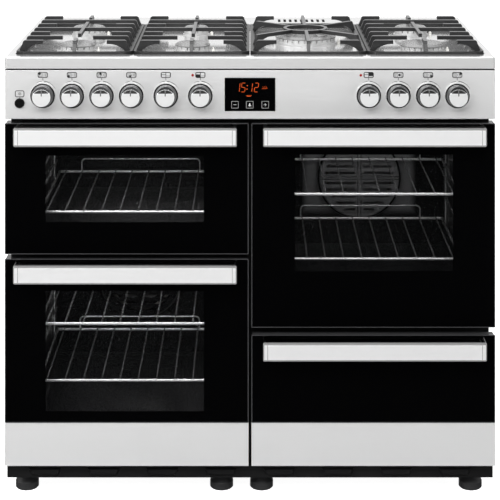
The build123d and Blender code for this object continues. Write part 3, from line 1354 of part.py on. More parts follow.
# Storage drawer: glass and trim on a shallow pan, an open box behind it and a runner on each side
door_glass("drawer_glass", COLUMN_X, FRONTS_FLOOR + TRIM_HEIGHT, DRAWER_TOP)
front_trim("drawer_trim", COLUMN_X)
handle("drawer_handle", COLUMN_X, DRAWER_TOP - HANDLE_DROP)
with BuildPart() as drawer_box:
    pan_half = COLUMN_WIDTH / 2 - DRAWER_PAN_INSET
    pan_low = (COLUMN_X - pan_half, FRONTS_FLOOR + DRAWER_PAN_INSET)
    pan_high = (COLUMN_X + pan_half, DRAWER_TOP - DRAWER_PAN_INSET)
    plate(front_plane(GLASS_BACK + DRAWER_PAN_DEPTH), pan_low, pan_high, DRAWER_PAN_DEPTH)
    offset(amount=-SHEET, openings=drawer_box.faces().sort_by(Axis.Y)[-1])
    plate(
        Plane.XY.offset(BOX_FLOOR),
        (BOX_LEFT, GLASS_BACK),
        (BOX_RIGHT, BOX_REAR),
        DRAWER_BOX_HEIGHT,
    )
    plate(
        Plane.XY.offset(BOX_FLOOR + SHEET),
        (BOX_LEFT + SHEET, GLASS_BACK + SHEET),
        (BOX_RIGHT - SHEET, BOX_REAR - SHEET),
        DRAWER_BOX_HEIGHT,
        Mode.SUBTRACT,
    )
    for runner_x in (BOX_LEFT - RUNNER_WIDTH, BOX_RIGHT):
        plate(
            Plane.XY.offset(DRAWER_RUNNER_FLOOR),
            (runner_x, FRAME_BACK + RUNNER_FRONT_GAP),
            (runner_x + RUNNER_WIDTH, BOX_REAR),
            RUNNER_HEIGHT,
        )
save(drawer_box, "drawer_box")

# Drawer channels: folded tracks on the centre wall and on the right side panel
with BuildPart() as drawer_channels:
    for wall_x, side, box_side in (
        (FRAME_SHEET / 2, 1, BOX_LEFT),
        (CARCASS_HALF - SHEET, -1, BOX_RIGHT),
    ):
        mouth_x = box_side - side * CHANNEL_SIDE_GAP
        track_top = DRAWER_RUNNER_TOP + RUNNER_CLEARANCE
        track_floor = DRAWER_RUNNER_FLOOR - RUNNER_CLEARANCE
        with BuildSketch(front_plane(BOX_REAR)):
            with BuildLine():
                Polyline(
                    (wall_x, track_floor - SHEET),
                    (mouth_x, track_floor - SHEET),
                    (mouth_x, track_floor),
                    (wall_x + side * SHEET, track_floor),
                    (wall_x + side * SHEET, track_top),
                    (mouth_x, track_top),
                    (mouth_x, track_top + SHEET),
                    (wall_x, track_top + SHEET),
                    close=True,
                )
            make_face()
        extrude(amount=BOX_REAR - FRAME_BACK - RUNNER_FRONT_GAP)
save(drawer_channels, "drawer_channels")

# Control panel: a folded box, open at the back, with end flanges on the side panels' front returns
with BuildPart() as control_panel:
    plate(
        front_plane(FRAME_FRONT),
        (-WIDTH / 2, PANEL_FLOOR),
        (WIDTH / 2, PANEL_TOP),
        FRAME_FRONT - FRONT_Y,
    )
    fillet(control_panel.faces().sort_by(Axis.Y)[0].edges(), PANEL_EDGE)
    offset(amount=-SHEET, openings=control_panel.faces().sort_by(Axis.Y)[-1])
    for side in (-1, 1):
        flange_left = side * (WIDTH / 2 - PANEL_FLANGE / 2) - PANEL_FLANGE / 2
        plate(
            front_plane(FRAME_BACK),
            (flange_left, FRAME_TOP + PANEL_FLANGE_MARGIN),
            (flange_left + PANEL_FLANGE, PANEL_TOP - PANEL_FLANGE_MARGIN),
            FRAME_SHEET,
        )
    for label, knob_x, gas in KNOBS:
        disc(
            front_plane(PANEL_INSIDE),
            (knob_x, KNOB_Z),
            SPINDLE_RADIUS + SPINDLE_HOLE_CLEARANCE,
            SHEET,
            Mode.SUBTRACT,
        )
    disc(
        front_plane(PANEL_INSIDE),
        (BUTTON_X, PANEL_FLOOR + BUTTON_RISE),
        BUTTON_RADIUS + BUTTON_CLEARANCE,
        SHEET,
        Mode.SUBTRACT,
    )
    for lamp_x in LAMP_X:
        disc(
            front_plane(PANEL_INSIDE),
            (lamp_x, PANEL_FLOOR + LAMP_RISE),
            LAMP_RADIUS + LAMP_CLEARANCE,
            SHEET,
            Mode.SUBTRACT,
        )
    cut_half = DISPLAY_WIDTH / 2 + DISPLAY_CLEARANCE
    cut_rise = DISPLAY_HEIGHT / 2 + DISPLAY_CLEARANCE
    plate(
        front_plane(PANEL_INSIDE),
        (-cut_half, DISPLAY_Z - cut_rise),
        (cut_half, DISPLAY_Z + cut_rise),
        SHEET,
        Mode.SUBTRACT,
    )
save(control_panel, "control_panel")

# Display glass: a dark pane that fills the panel's cut-out
with BuildPart() as display_glass:
    plate(
        front_plane(PANEL_INSIDE),
        (-DISPLAY_WIDTH / 2, DISPLAY_Z - DISPLAY_HEIGHT / 2),
        (DISPLAY_WIDTH / 2, DISPLAY_Z + DISPLAY_HEIGHT / 2),
        SHEET + DISPLAY_PROUD,
    )
save(display_glass, "display_glass")

# Lamp lenses: small domed plugs in the panel
with BuildPart() as lamp_lenses:
    for lamp_x in LAMP_X:
        lamp_z = PANEL_FLOOR + LAMP_RISE
        lamp_front = FRONT_Y - LAMP_PROUD
        turned(
            side_plane(lamp_x),
            Axis((lamp_x, 0, lamp_z), (0, 1, 0)),
            (
                (lamp_front, lamp_z),
                (lamp_front, lamp_z + LAMP_FACE_RADIUS),
                (lamp_front + LAMP_EDGE, lamp_z + LAMP_RADIUS),
                (lamp_front + LAMP_LENGTH, lamp_z + LAMP_RADIUS),
                (lamp_front + LAMP_LENGTH, lamp_z),
            ),
        )
save(lamp_lenses, "lamp_lenses")

# Valves and switches: gas taps on the rail, oven controls, the ignition switch cup and the clock module
with BuildPart() as valves_and_switches:
    for label, knob_x, gas in KNOBS:
        body_width = TAP_WIDTH if gas else CONTROL_WIDTH
        body_height = TAP_HEIGHT if gas else CONTROL_HEIGHT
        body_rear = RAIL_Y - RAIL_RADIUS - RAIL_SEAT if gas else PANEL_INSIDE + CONTROL_DEPTH
        plate(
            front_plane(body_rear),
            (knob_x - body_width / 2, KNOB_Z - body_height / 2),
            (knob_x + body_width / 2, KNOB_Z + body_height / 2),
            body_rear - PANEL_INSIDE,
            corner=SPINDLE_RADIUS,
        )
        disc(front_plane(PANEL_INSIDE), (knob_x, KNOB_Z), SPINDLE_RADIUS, SPINDLE_LENGTH)
    button_z = PANEL_FLOOR + BUTTON_RISE
    bore = BUTTON_RADIUS + BUTTON_COLLAR + BUTTON_SEAT
    cup_depth = BUTTON_SEAT + BUTTON_COLLAR_DEPTH + BUTTON_TRAVEL + BUTTON_SEAT
    disc(
        front_plane(PANEL_INSIDE + cup_depth + SWITCH_WALL),
        (BUTTON_X, button_z),
        bore + SWITCH_WALL,
        cup_depth + SWITCH_WALL,
    )
    disc(front_plane(PANEL_INSIDE + cup_depth), (BUTTON_X, button_z), bore, cup_depth, Mode.SUBTRACT)
    plate(
        front_plane(PANEL_INSIDE + CLOCK_DEPTH),
        (-DISPLAY_WIDTH / 2 - CLOCK_LAP, DISPLAY_Z - DISPLAY_HEIGHT / 2 - CLOCK_LAP),
        (DISPLAY_WIDTH / 2 + CLOCK_LAP, DISPLAY_Z + DISPLAY_HEIGHT / 2 + CLOCK_LAP),
        CLOCK_DEPTH,
    )
save(valves_and_switches, "valves_and_switches")

# Ignition button: a plunger in the panel, kept in by a collar
with BuildPart() as ignition_button:
    button_front = FRONT_Y - BUTTON_PROUD
    collar_front = PANEL_INSIDE + BUTTON_SEAT
    collar_radius = BUTTON_RADIUS + BUTTON_COLLAR
    turned(
        side_plane(BUTTON_X),
        Axis((BUTTON_X, 0, button_z), (0, 1, 0)),
        (
            (button_front, button_z),
            (button_front, button_z + BUTTON_RADIUS - BUTTON_CROWN),
            (button_front + BUTTON_CROWN, button_z + BUTTON_RADIUS),
            (collar_front, button_z + BUTTON_RADIUS),
            (collar_front, button_z + collar_radius),
            (collar_front + BUTTON_COLLAR_DEPTH, button_z + collar_radius),
            (collar_front + BUTTON_COLLAR_DEPTH, button_z),
        ),
    )
save(ignition_button, "ignition_button")

# Knobs: a turned cup with a skirt, a sloped facet above the grip line and a bore for the spindle
for label, knob_x, gas in KNOBS:
    knob_rear = FRONT_Y - KNOB_GAP
    knob_face = knob_rear - KNOB_LENGTH
    with BuildPart() as knob:
        turned(
            side_plane(knob_x),
            Axis((knob_x, 0, KNOB_Z), (0, 1, 0)),
            (
                (knob_rear, KNOB_Z),
                (knob_rear, KNOB_Z + KNOB_SKIRT_RADIUS),
                (knob_rear - KNOB_SKIRT, KNOB_Z + KNOB_SKIRT_RADIUS),
                (knob_rear - KNOB_SKIRT, KNOB_Z + KNOB_RADIUS),
                (knob_face + KNOB_EDGE, KNOB_Z + KNOB_FACE_RADIUS),
                (knob_face, KNOB_Z + KNOB_FACE_RADIUS - KNOB_EDGE),
                (knob_face, KNOB_Z),
            ),
        )
        with BuildSketch(side_plane(knob_x)):
            Polygon(
                (knob_face, KNOB_Z + KNOB_FACET_RISE),
                (knob_face, KNOB_Z + KNOB_SKIRT_RADIUS),
                (knob_face + KNOB_FACET_DEPTH, KNOB_Z + KNOB_SKIRT_RADIUS),
                align=None,
            )
        extrude(amount=KNOB_SKIRT_RADIUS, both=True, mode=Mode.SUBTRACT)
        bore_end = PANEL_INSIDE - SPINDLE_LENGTH - SPINDLE_HOLE_CLEARANCE
        disc(
            front_plane(knob_rear),
            (knob_x, KNOB_Z),
            SPINDLE_RADIUS + SPINDLE_CLEARANCE,
            knob_rear - bore_end,
            Mode.SUBTRACT,
        )
    save(knob, label)

# Gas rail: a pipe behind the taps that turns back along the side to the threaded inlet
with BuildPart() as gas_rail:
    inlet_front = REAR_Y - INLET_LENGTH
    collar_front = inlet_front - INLET_COLLAR_LENGTH
    with BuildLine() as rail_path:
        FilletPolyline(
            (-RAIL_END_X, RAIL_Y, KNOB_Z),
            (RAIL_RISER_X, RAIL_Y, KNOB_Z),
            (RAIL_RISER_X, collar_front, KNOB_Z),
            radius=RAIL_BEND,
        )
    with BuildSketch(Plane(origin=rail_path.line @ 0, z_dir=rail_path.line % 0)) as rail_section:
        Circle(RAIL_RADIUS)
    sweep(rail_section.sketch, path=rail_path.line)
    disc(front_plane(REAR_Y), (RAIL_RISER_X, KNOB_Z), INLET_RADIUS, INLET_LENGTH)
    disc(front_plane(inlet_front), (RAIL_RISER_X, KNOB_Z), INLET_COLLAR_RADIUS, INLET_COLLAR_LENGTH)
    disc(front_plane(REAR_Y), (RAIL_RISER_X, KNOB_Z), RAIL_BORE_RADIUS, INLET_LENGTH, Mode.SUBTRACT)
save(gas_rail, "gas_rail")
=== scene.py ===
import math

import bmesh
import bpy
import numpy as np
from mathutils import Matrix, Vector


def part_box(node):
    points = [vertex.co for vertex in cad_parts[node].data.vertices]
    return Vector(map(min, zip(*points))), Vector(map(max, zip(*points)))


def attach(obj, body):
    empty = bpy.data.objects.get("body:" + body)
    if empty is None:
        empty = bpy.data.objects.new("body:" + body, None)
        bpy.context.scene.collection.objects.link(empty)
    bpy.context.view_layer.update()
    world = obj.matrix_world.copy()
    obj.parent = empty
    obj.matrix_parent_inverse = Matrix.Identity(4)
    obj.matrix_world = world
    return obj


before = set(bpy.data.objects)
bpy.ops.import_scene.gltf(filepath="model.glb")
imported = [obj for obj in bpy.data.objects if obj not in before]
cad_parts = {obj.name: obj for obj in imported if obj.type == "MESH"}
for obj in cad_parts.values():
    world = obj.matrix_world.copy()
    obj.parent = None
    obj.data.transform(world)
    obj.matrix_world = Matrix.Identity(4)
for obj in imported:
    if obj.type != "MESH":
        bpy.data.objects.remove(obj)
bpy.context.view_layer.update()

# The room: a pale floor, soft light from above and in front, and a white surround.
# The surround is white behind the cooker and overhead, and dark low down in front of it, so that the
# upright glass looks black while the hob mirrors a white wall.
MERGE_DISTANCE = 1e-6
WHITE = (1.0, 1.0, 1.0, 1.0)
FLOOR_HALF = 40.0
FLOOR_COLOUR = (0.93, 0.93, 0.93, 1.0)
FLOOR_ROUGHNESS = 0.9
FLOOR_GLOW = 0.95
# How steeply up, or how far back, a direction points, and how bright the surround is there
SKY_RISE = (-0.06, 0.42)
SKY_STRENGTH = (0.0002, 0.45)
WALL_RISE = (0.60, 0.90)
WALL_STRENGTH = (0.0, 0.90)
bpy.context.scene.view_settings.view_transform = "Standard"
bpy.context.scene.view_settings.look = "None"


def link_to_scene(thing):
    """Put an object into the scene's own collection."""
    bpy.context.scene.collection.objects.link(thing)
    return thing


def grid_faces(rows, columns, start=0):
    """Corner numbers of the faces of a rows by columns grid of points, as an array of fours."""
    corner = start + np.arange(rows * columns).reshape(rows, columns)
    quads = np.stack([corner[:-1, :-1], corner[:-1, 1:], corner[1:, 1:], corner[1:, :-1]], axis=-1)
    return quads.reshape(-1, 4)


def mesh_from_grids(name, grids):
    """One mesh from several grids of points, each an array of rows by columns by three.

    Points that coincide are merged, which closes the seams and poles of round shapes.
    """
    points = []
    faces = []
    start = 0
    for grid in grids:
        rows, columns = grid.shape[:2]
        points.append(grid.reshape(-1, 3))
        faces.append(grid_faces(rows, columns, start))
        start += rows * columns
    mesh = bpy.data.meshes.new(name)
    mesh.from_pydata(np.concatenate(points).tolist(), [], np.concatenate(faces).tolist())
    joined = bmesh.new()
    joined.from_mesh(mesh)
    bmesh.ops.remove_doubles(joined, verts=joined.verts, dist=MERGE_DISTANCE)
    joined.to_mesh(mesh)
    joined.free()
    return mesh


def floor_grid():
    """The floor as a flat square: x and y run between the same limits, z is zero."""
    side = np.linspace(-FLOOR_HALF, FLOOR_HALF, 2)
    x, y = np.meshgrid(side, side)
    return np.stack([x, y, np.zeros_like(x)], axis=-1)


def start_material(name):
    """A new node material: gives back the material, its node tree and its Principled shader."""
    material = bpy.data.materials.new(name)
    material.use_nodes = True
    tree = material.node_tree
    return material, tree, tree.nodes["Principled BSDF"]


floor = link_to_scene(bpy.data.objects.new("floor", mesh_from_grids("floor", [floor_grid()])))
floor_paper, _, floor_shader = start_material("floor_paper")
floor_shader.inputs["Base Color"].default_value = FLOOR_COLOUR
floor_shader.inputs["Roughness"].default_value = FLOOR_ROUGHNESS
floor_shader.inputs["Emission Color"].default_value = WHITE
floor_shader.inputs["Emission Strength"].default_value = FLOOR_GLOW
floor.data.materials.append(floor_paper)
floor.visible_glossy = False


def add_range(tree, source, old, new, kind="LINEAR"):
    """A value carried over from one range to another, in a straight line or by a smooth step."""
    carry = tree.nodes.new("ShaderNodeMapRange")
    carry.interpolation_type = kind
    for label, value in zip(("From Min", "From Max", "To Min", "To Max"), (*old, *new)):
        carry.inputs[label].default_value = value
    tree.links.new(source, carry.inputs["Value"])
    return carry.outputs["Result"]


def add_math(tree, operation, *values):
    """The outcome of one operation on one or two values, each an output or a plain number."""
    node = tree.nodes.new("ShaderNodeMath")
    node.operation = operation
    for socket, value in zip(node.inputs, values):
        if isinstance(value, float):
            socket.default_value = value
        else:
            tree.links.new(value, socket)
    return node.outputs["Value"]


world = bpy.data.worlds.new("surround")
bpy.context.scene.world = world
world.use_nodes = True
sky = world.node_tree
sky_background = sky.nodes["Background"]
sky_background.inputs["Color"].default_value = WHITE
sky_direction = sky.nodes.new("ShaderNodeTexCoord")
sky_split = sky.nodes.new("ShaderNodeSeparateXYZ")
sky.links.new(sky_direction.outputs["Generated"], sky_split.inputs["Vector"])
overhead = add_range(sky, sky_split.outputs["Z"], SKY_RISE, SKY_STRENGTH, "SMOOTHSTEP")
behind = add_range(sky, sky_split.outputs["Y"], WALL_RISE, WALL_STRENGTH, "SMOOTHSTEP")
sky_path = sky.nodes.new("ShaderNodeLightPath")
sky_pick = sky.nodes.new("ShaderNodeMix")
sky_pick.inputs["B"].default_value = 1.0
sky.links.new(sky_path.outputs["Is Camera Ray"], sky_pick.inputs["Factor"])
sky.links.new(add_math(sky, "MAXIMUM", overhead, behind), sky_pick.inputs["A"])
sky.links.new(sky_pick.outputs["Result"], sky_background.inputs["Strength"])


def softbox(name, place, target, size, power):
    """A flat studio light at a place, turned to face a target; its size is width and height."""
    lamp = bpy.data.lights.new(name, "AREA")
    lamp.shape = "RECTANGLE"
    lamp.size, lamp.size_y = size
    lamp.energy = power
    holder = link_to_scene(bpy.data.objects.new(name, lamp))
    holder.location = place
    holder.rotation_mode = "QUATERNION"
    holder.rotation_quaternion = (Vector(target) - Vector(place)).to_track_quat("-Z", "Y")
    return holder


# Each softbox: place, target, width and height, power
SOFTBOXES = {
    "front_softbox": ((-0.7, -2.9, 2.6), (0.0, -0.27, 0.5), (3.4, 1.4), 122.0),
    "top_softbox": ((0.0, 0.4, 3.0), (0.0, 0.0, 0.9), (3.0, 2.4), 28.0),
    "left_softbox": ((-3.2, -1.2, 1.6), (0.0, 0.0, 0.6), (1.6, 1.8), 44.0),
    "right_softbox": ((3.2, -1.2, 1.6), (0.0, 0.0, 0.6), (1.6, 1.8), 25.0),
}
for box, setting in SOFTBOXES.items():
    softbox(box, *setting)

# A slim light near the roof of each oven: X, Z, power
OVEN_LIGHTS = {
    "upper_left": (-0.2515, 0.728, 0.72),
    "lower_left": (-0.2515, 0.452, 0.72),
    "right": (0.2515, 0.728, 0.30),
}
OVEN_LIGHT_Y = -0.19
OVEN_LIGHT_AIM = 0.25
OVEN_LIGHT_SIZE = (0.34, 0.03)
for oven, (light_x, light_z, light_power) in OVEN_LIGHTS.items():
    light_place = (light_x, OVEN_LIGHT_Y, light_z)
    light_target = (light_x, 0.0, light_z - OVEN_LIGHT_AIM)
    oven_light = softbox(f"{oven}_oven_light", light_place, light_target, OVEN_LIGHT_SIZE, light_power)
    oven_light.visible_camera = False

# The camera: level, square to the doors and well above them, with the film slid down on its plane.
# The slide is a shear of the camera's axes, so upright edges stay upright as in the photograph.
IMAGE_SIZE = 500.0
FOCAL_PIXELS = 1643.0
SLIDE_PIXELS = 456.0
CAMERA_BACK = 3.350
CAMERA_HEIGHT = 1.440
FRONT_Y = -0.276
SENSOR = 36.0
slide_angle = math.atan2(SLIDE_PIXELS, FOCAL_PIXELS)
camera_data = bpy.data.cameras.new("camera")
camera_data.sensor_width = SENSOR
camera_data.lens = FOCAL_PIXELS / math.cos(slide_angle) / IMAGE_SIZE * SENSOR
camera = link_to_scene(bpy.data.objects.new("camera", camera_data))
camera_stand = link_to_scene(bpy.data.objects.new("camera_stand", None))
camera.parent = camera_stand
camera.matrix_parent_inverse = Matrix((
    (1.0, 0.0, 0.0, 0.0),
    (0.0, 0.0, -math.cos(slide_angle), FRONT_Y - CAMERA_BACK),
    (0.0, 1.0, math.sin(slide_angle), CAMERA_HEIGHT),
    (0.0, 0.0, 0.0, 1.0),
))
bpy.context.scene.camera = camera

# Levelling feet: eight moulded nylon pads on steel studs that screw up into the base.
# The moulding is dull black with a fine grain.
BROAD_DETAIL = 4.0
FINE_DETAIL = 2.0
FINE_SPREAD = (0.3, 0.7)


def new_group(name, inputs, outputs):
    """An empty shader node group with the named sockets; gives back the tree and its end nodes."""
    tree = bpy.data.node_groups.new(name, "ShaderNodeTree")
    for label, kind, value in inputs:
        socket = tree.interface.new_socket(label, in_out="INPUT", socket_type=kind)
        socket.default_value = value
    for label, kind in outputs:
        tree.interface.new_socket(label, in_out="OUTPUT", socket_type=kind)
    return tree, tree.nodes.new("NodeGroupInput"), tree.nodes.new("NodeGroupOutput")


def object_place(tree):
    """The object coordinates of a surface."""
    return tree.nodes.new("ShaderNodeTexCoord").outputs["Object"]


def make_grain_group():
    """Surface grain: a broad and a fine noise over object coordinates, stretched along a direction."""
    tree, start, end = new_group(
        "surface_grain",
        [
            ("Stretch", "NodeSocketVector", (1.0, 1.0, 1.0)),
            ("Broad Scale", "NodeSocketFloat", 20.0),
            ("Fine Scale", "NodeSocketFloat", 400.0),
        ],
        [("Broad", "NodeSocketFloat"), ("Fine", "NodeSocketFloat")],
    )
    stretch = tree.nodes.new("ShaderNodeVectorMath")
    stretch.operation = "MULTIPLY"
    tree.links.new(object_place(tree), stretch.inputs[0])
    tree.links.new(start.outputs["Stretch"], stretch.inputs[1])
    for label, detail in (("Broad", BROAD_DETAIL), ("Fine", FINE_DETAIL)):
        noise = tree.nodes.new("ShaderNodeTexNoise")
        noise.inputs["Detail"].default_value = detail
        tree.links.new(stretch.outputs["Vector"], noise.inputs["Vector"])
        tree.links.new(start.outputs[f"{label} Scale"], noise.inputs["Scale"])
        tree.links.new(noise.outputs["Fac"], end.inputs[label])
    return tree


grain_group = make_grain_group()


def add_mix(tree, mask, below, above):
    """A colour that goes from one colour or output to another by a mask.

    Inputs 6 and 7 of a mix node take its two colours, and its output 2 gives the blend.
    """
    mix = tree.nodes.new("ShaderNodeMix")
    mix.data_type = "RGBA"
    tree.links.new(mask, mix.inputs[0])
    for socket, value in ((6, below), (7, above)):
        if isinstance(value, tuple):
            mix.inputs[socket].default_value = (*value, 1.0)
        else:
            tree.links.new(value, mix.inputs[socket])
    return mix.outputs[2]


def grained(name, dark, light, rough, grain, bump=(0.1, 0.0002), stretch=(1.0, 1.0, 1.0), metal=0.0):
    """A material whose colour drifts with the broad grain, and whose gloss and bump follow the fine one.

    rough is the smoothest and roughest value, grain the broad and fine scale, bump its strength and height.
    """
    material, tree, shader = start_material(name)
    surface = tree.nodes.new("ShaderNodeGroup")
    surface.node_tree = grain_group
    surface.inputs["Stretch"].default_value = stretch
    surface.inputs["Broad Scale"].default_value = grain[0]
    surface.inputs["Fine Scale"].default_value = grain[1]
    colour = add_mix(tree, surface.outputs["Broad"], dark, light)
    colour.node.name = "Colour"
    relief = tree.nodes.new("ShaderNodeBump")
    relief.inputs["Strength"].default_value = bump[0]
    relief.inputs["Distance"].default_value = bump[1]
    tree.links.new(surface.outputs["Fine"], relief.inputs["Height"])
    tree.links.new(colour, shader.inputs["Base Color"])
    tree.links.new(add_range(tree, surface.outputs["Fine"], FINE_SPREAD, rough), shader.inputs["Roughness"])
    tree.links.new(relief.outputs["Normal"], shader.inputs["Normal"])
    shader.inputs["Metallic"].default_value = metal
    return material


def dress(material, *nodes):
    """Give CAD nodes their finish."""
    for node in nodes:
        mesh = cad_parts[node].data
        mesh.materials.clear()
        mesh.materials.append(material)


foot_nylon = grained("foot_nylon", (0.010, 0.010, 0.011), (0.022, 0.022, 0.023), (0.45, 0.62), (30.0, 900.0))
dress(foot_nylon, "levelling_feet")

# Base chassis, carcass frame, plinth and side panels: folded steel sheet, sprayed satin black.
# The paint has the soft orange peel of a powder coat, and the plinth has a row of pressed louvres.
carcass_paint = grained(
    "carcass_paint", (0.003, 0.003, 0.0032), (0.006, 0.006, 0.0063),
    (0.34, 0.46), (9.0, 420.0), (0.12, 0.0003),
)
dress(carcass_paint, "base_chassis", "carcass_frame", "plinth", "side_panels")

# Back panel, drawer channels and hinge brackets: zinc coated sheet, left bare.
# The zinc shows its crystals as pale and dark flakes a centimetre across.
# Screws with plated domed heads hold the back panel along its edges.
FLAKE_SCALE = 95.0
FLAKE_DARK = (0.36, 0.37, 0.38)
FLAKE_LIGHT = (0.60, 0.61, 0.62)
FLAKE_ROUGHNESS = (0.34, 0.56)
ZINC_METAL = 0.85


def make_zinc():
    """Bare zinc: cells of random brightness on object coordinates set colour and roughness."""
    material, tree, shader = start_material("zinc_sheet")
    flakes = tree.nodes.new("ShaderNodeTexVoronoi")
    flakes.inputs["Scale"].default_value = FLAKE_SCALE
    tone = tree.nodes.new("ShaderNodeSeparateColor")
    tree.links.new(object_place(tree), flakes.inputs["Vector"])
    tree.links.new(flakes.outputs["Color"], tone.inputs["Color"])
    colour = add_mix(tree, tone.outputs["Red"], FLAKE_DARK, FLAKE_LIGHT)
    gloss = add_range(tree, tone.outputs["Green"], (0.0, 1.0), FLAKE_ROUGHNESS)
    tree.links.new(colour, shader.inputs["Base Color"])
    tree.links.new(gloss, shader.inputs["Roughness"])
    shader.inputs["Metallic"].default_value = ZINC_METAL
    return material


zinc_sheet = make_zinc()
dress(zinc_sheet, "back_panel", "drawer_channels", "hinge_brackets")

BACK_FACE = 0.3015
SCREW_RADIUS = 0.004
SCREW_HEIGHT = 0.0022
SCREW_INSET = 0.012
SCREW_COLUMNS = 6
SCREW_ROWS = 5


def screw_head(x, y, z):
    """A domed screw head that faces backwards: a quarter ellipse turned about an axis along Y."""
    rise = np.linspace(0.0, math.pi / 2, 6)[:, None]
    turn = np.linspace(0.0, 2 * math.pi, 19)[None, :]
    out = SCREW_RADIUS * np.cos(rise)
    return np.stack([
        x + out * np.cos(turn),
        y + SCREW_HEIGHT * np.sin(rise) + 0.0 * turn,
        z - out * np.sin(turn),
    ], axis=-1)


def add_piece(name, grids, material, body, thickness=0.0):
    """A new piece from grids, dressed and riding on a body; a flat one gets a thickness below its face."""
    piece = link_to_scene(bpy.data.objects.new(name, mesh_from_grids(name, grids)))
    piece.data.materials.append(material)
    if thickness > 0.0:
        wall = piece.modifiers.new("thickness", "SOLIDIFY")
        wall.thickness = thickness
        wall.offset = -1.0
    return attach(piece, body)


back_low, back_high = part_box("back_panel")
screw_x = np.linspace(back_low[0] + SCREW_INSET, back_high[0] - SCREW_INSET, SCREW_COLUMNS)
screw_z = np.linspace(back_low[2] + SCREW_INSET, back_high[2] - SCREW_INSET, SCREW_ROWS)
screw_places = [(x, z) for x in screw_x for z in (screw_z[0], screw_z[-1])]
screw_places += [(x, z) for x in (screw_x[0], screw_x[-1]) for z in screw_z[1:-1]]
screw_plating = grained(
    "screw_plating", (0.50, 0.50, 0.52), (0.66, 0.66, 0.68), (0.22, 0.36), (300.0, 900.0), metal=0.95
)
screw_heads = [screw_head(x, BACK_FACE, z) for x, z in screw_places]
back_screws = add_piece("back_screws", screw_heads, screw_plating, "root")

# Oven cavities and fan covers: pressed steel boxes with dark glossy enamel and a fine pale fleck.
# The right oven has a paler panel on its rear wall, and its cover is as pale; the left cover is dark.
# Each cover is pressed with a ring near its rim and a cross of ribs, drawn as painted lines: the paler ring
# on the left cover is a painted highlight, and the dark ring and rib edges are painted shade.
ENAMEL_DARK = (0.005, 0.005, 0.0055)
ENAMEL_LIGHT = (0.011, 0.011, 0.012)
ENAMEL_PALE = (0.25, 0.25, 0.258)
# Painted highlight: the pressed ring on the dark left cover is drawn in this paler tone.
COVER_RING_HIGHLIGHT = (0.055, 0.055, 0.057)
ENAMEL_FADE = 0.001
REAR_WALL_Y = 0.176
REAR_PANEL_LOW = (0.1165, 0.465)
REAR_PANEL_HIGH = (0.3865, 0.735)
REAR_PANEL_FADE = 0.02
LEFT_COVER_CENTRE = (-0.2515, 0.327)
RIGHT_COVER_CENTRE = (0.2515, 0.5565)
COVER_RING = 0.0915
COVER_RING_WIDTH = 0.0045
COVER_RING_FADE = 0.0006
COVER_RIB_REACH = (0.0038, 0.0028)
COVER_RIB_LINE = 0.0009
COVER_RIB_FADE = 0.0003


def add_step(tree, source, edge, width, rising):
    """A mask from a value: across the width round an edge it climbs from nought to one, or falls."""
    ends = (edge - width / 2, edge + width / 2)
    return add_range(tree, source, ends, (0.0, 1.0) if rising else (1.0, 0.0), "SMOOTHSTEP")


def object_axis(tree, axis):
    """One of the object coordinates of a surface: X, Y or Z."""
    split = tree.nodes.new("ShaderNodeSeparateXYZ")
    tree.links.new(object_place(tree), split.inputs["Vector"])
    return split.outputs[axis]


def make_window_group():
    """A rectangle's mask on object X and Z: one inside, nought outside, with a fade within its edge.

    The mask climbs with the depth inside the rectangle, which is the smaller depth of the two axes.
    """
    tree, start, end = new_group(
        "print_window",
        [
            ("Centre X", "NodeSocketFloat", 0.0),
            ("Centre Z", "NodeSocketFloat", 0.0),
            ("Half Width", "NodeSocketFloat", 0.1),
            ("Half Height", "NodeSocketFloat", 0.1),
            ("Fade", "NodeSocketFloat", 0.004),
        ],
        [("Mask", "NodeSocketFloat")],
    )
    past = []
    for axis, half in (("X", "Half Width"), ("Z", "Half Height")):
        shift = add_math(tree, "SUBTRACT", object_axis(tree, axis), start.outputs[f"Centre {axis}"])
        reach = add_math(tree, "ABSOLUTE", shift)
        past.append(add_math(tree, "SUBTRACT", reach, start.outputs[half]))
    inside = add_math(tree, "MULTIPLY", add_math(tree, "MAXIMUM", *past), -1.0)
    climb = tree.nodes.new("ShaderNodeMapRange")
    climb.interpolation_type = "SMOOTHSTEP"
    tree.links.new(inside, climb.inputs["Value"])
    tree.links.new(start.outputs["Fade"], climb.inputs["From Max"])
    tree.links.new(climb.outputs["Result"], end.inputs["Mask"])
    return tree


window_group = make_window_group()


def rectangle_mask(tree, low, high, fade):
    """A placed rectangle mask between two corners in X and Z; gives back its mask output."""
    window = tree.nodes.new("ShaderNodeGroup")
    window.node_tree = window_group
    window.inputs["Centre X"].default_value = (low[0] + high[0]) / 2
    window.inputs["Centre Z"].default_value = (low[1] + high[1]) / 2
    window.inputs["Half Width"].default_value = (high[0] - low[0]) / 2
    window.inputs["Half Height"].default_value = (high[1] - low[1]) / 2
    window.inputs["Fade"].default_value = fade
    return window.outputs["Mask"]


def add_vector(tree, operation, source, fixed=(0.0, 0.0, 0.0)):
    """A node for one operation on a vector output and a fixed vector."""
    node = tree.nodes.new("ShaderNodeVectorMath")
    node.operation = operation
    node.inputs[1].default_value = fixed
    tree.links.new(source, node.inputs[0])
    return node


def axis_distance(tree, centre_x, centre_z):
    """How far a point lies from a line along Y: the length of its X and Z offsets."""
    offset = add_vector(tree, "SUBTRACT", object_place(tree), (centre_x, 0.0, centre_z))
    sideways = add_vector(tree, "MULTIPLY", offset.outputs["Vector"], (1.0, 0.0, 1.0))
    return add_vector(tree, "LENGTH", sideways.outputs["Vector"]).outputs["Value"]


def open_finish(material):
    """A finish opened for more work: its node tree, its shader and its grained colour."""
    tree = material.node_tree
    return tree, tree.nodes["Principled BSDF"], tree.nodes["Colour"].outputs[2]


def enamel(name):
    """The dark oven enamel under a name of its own."""
    return grained(name, ENAMEL_DARK, ENAMEL_LIGHT, (0.18, 0.32), (160.0, 700.0), (0.08, 0.0002))


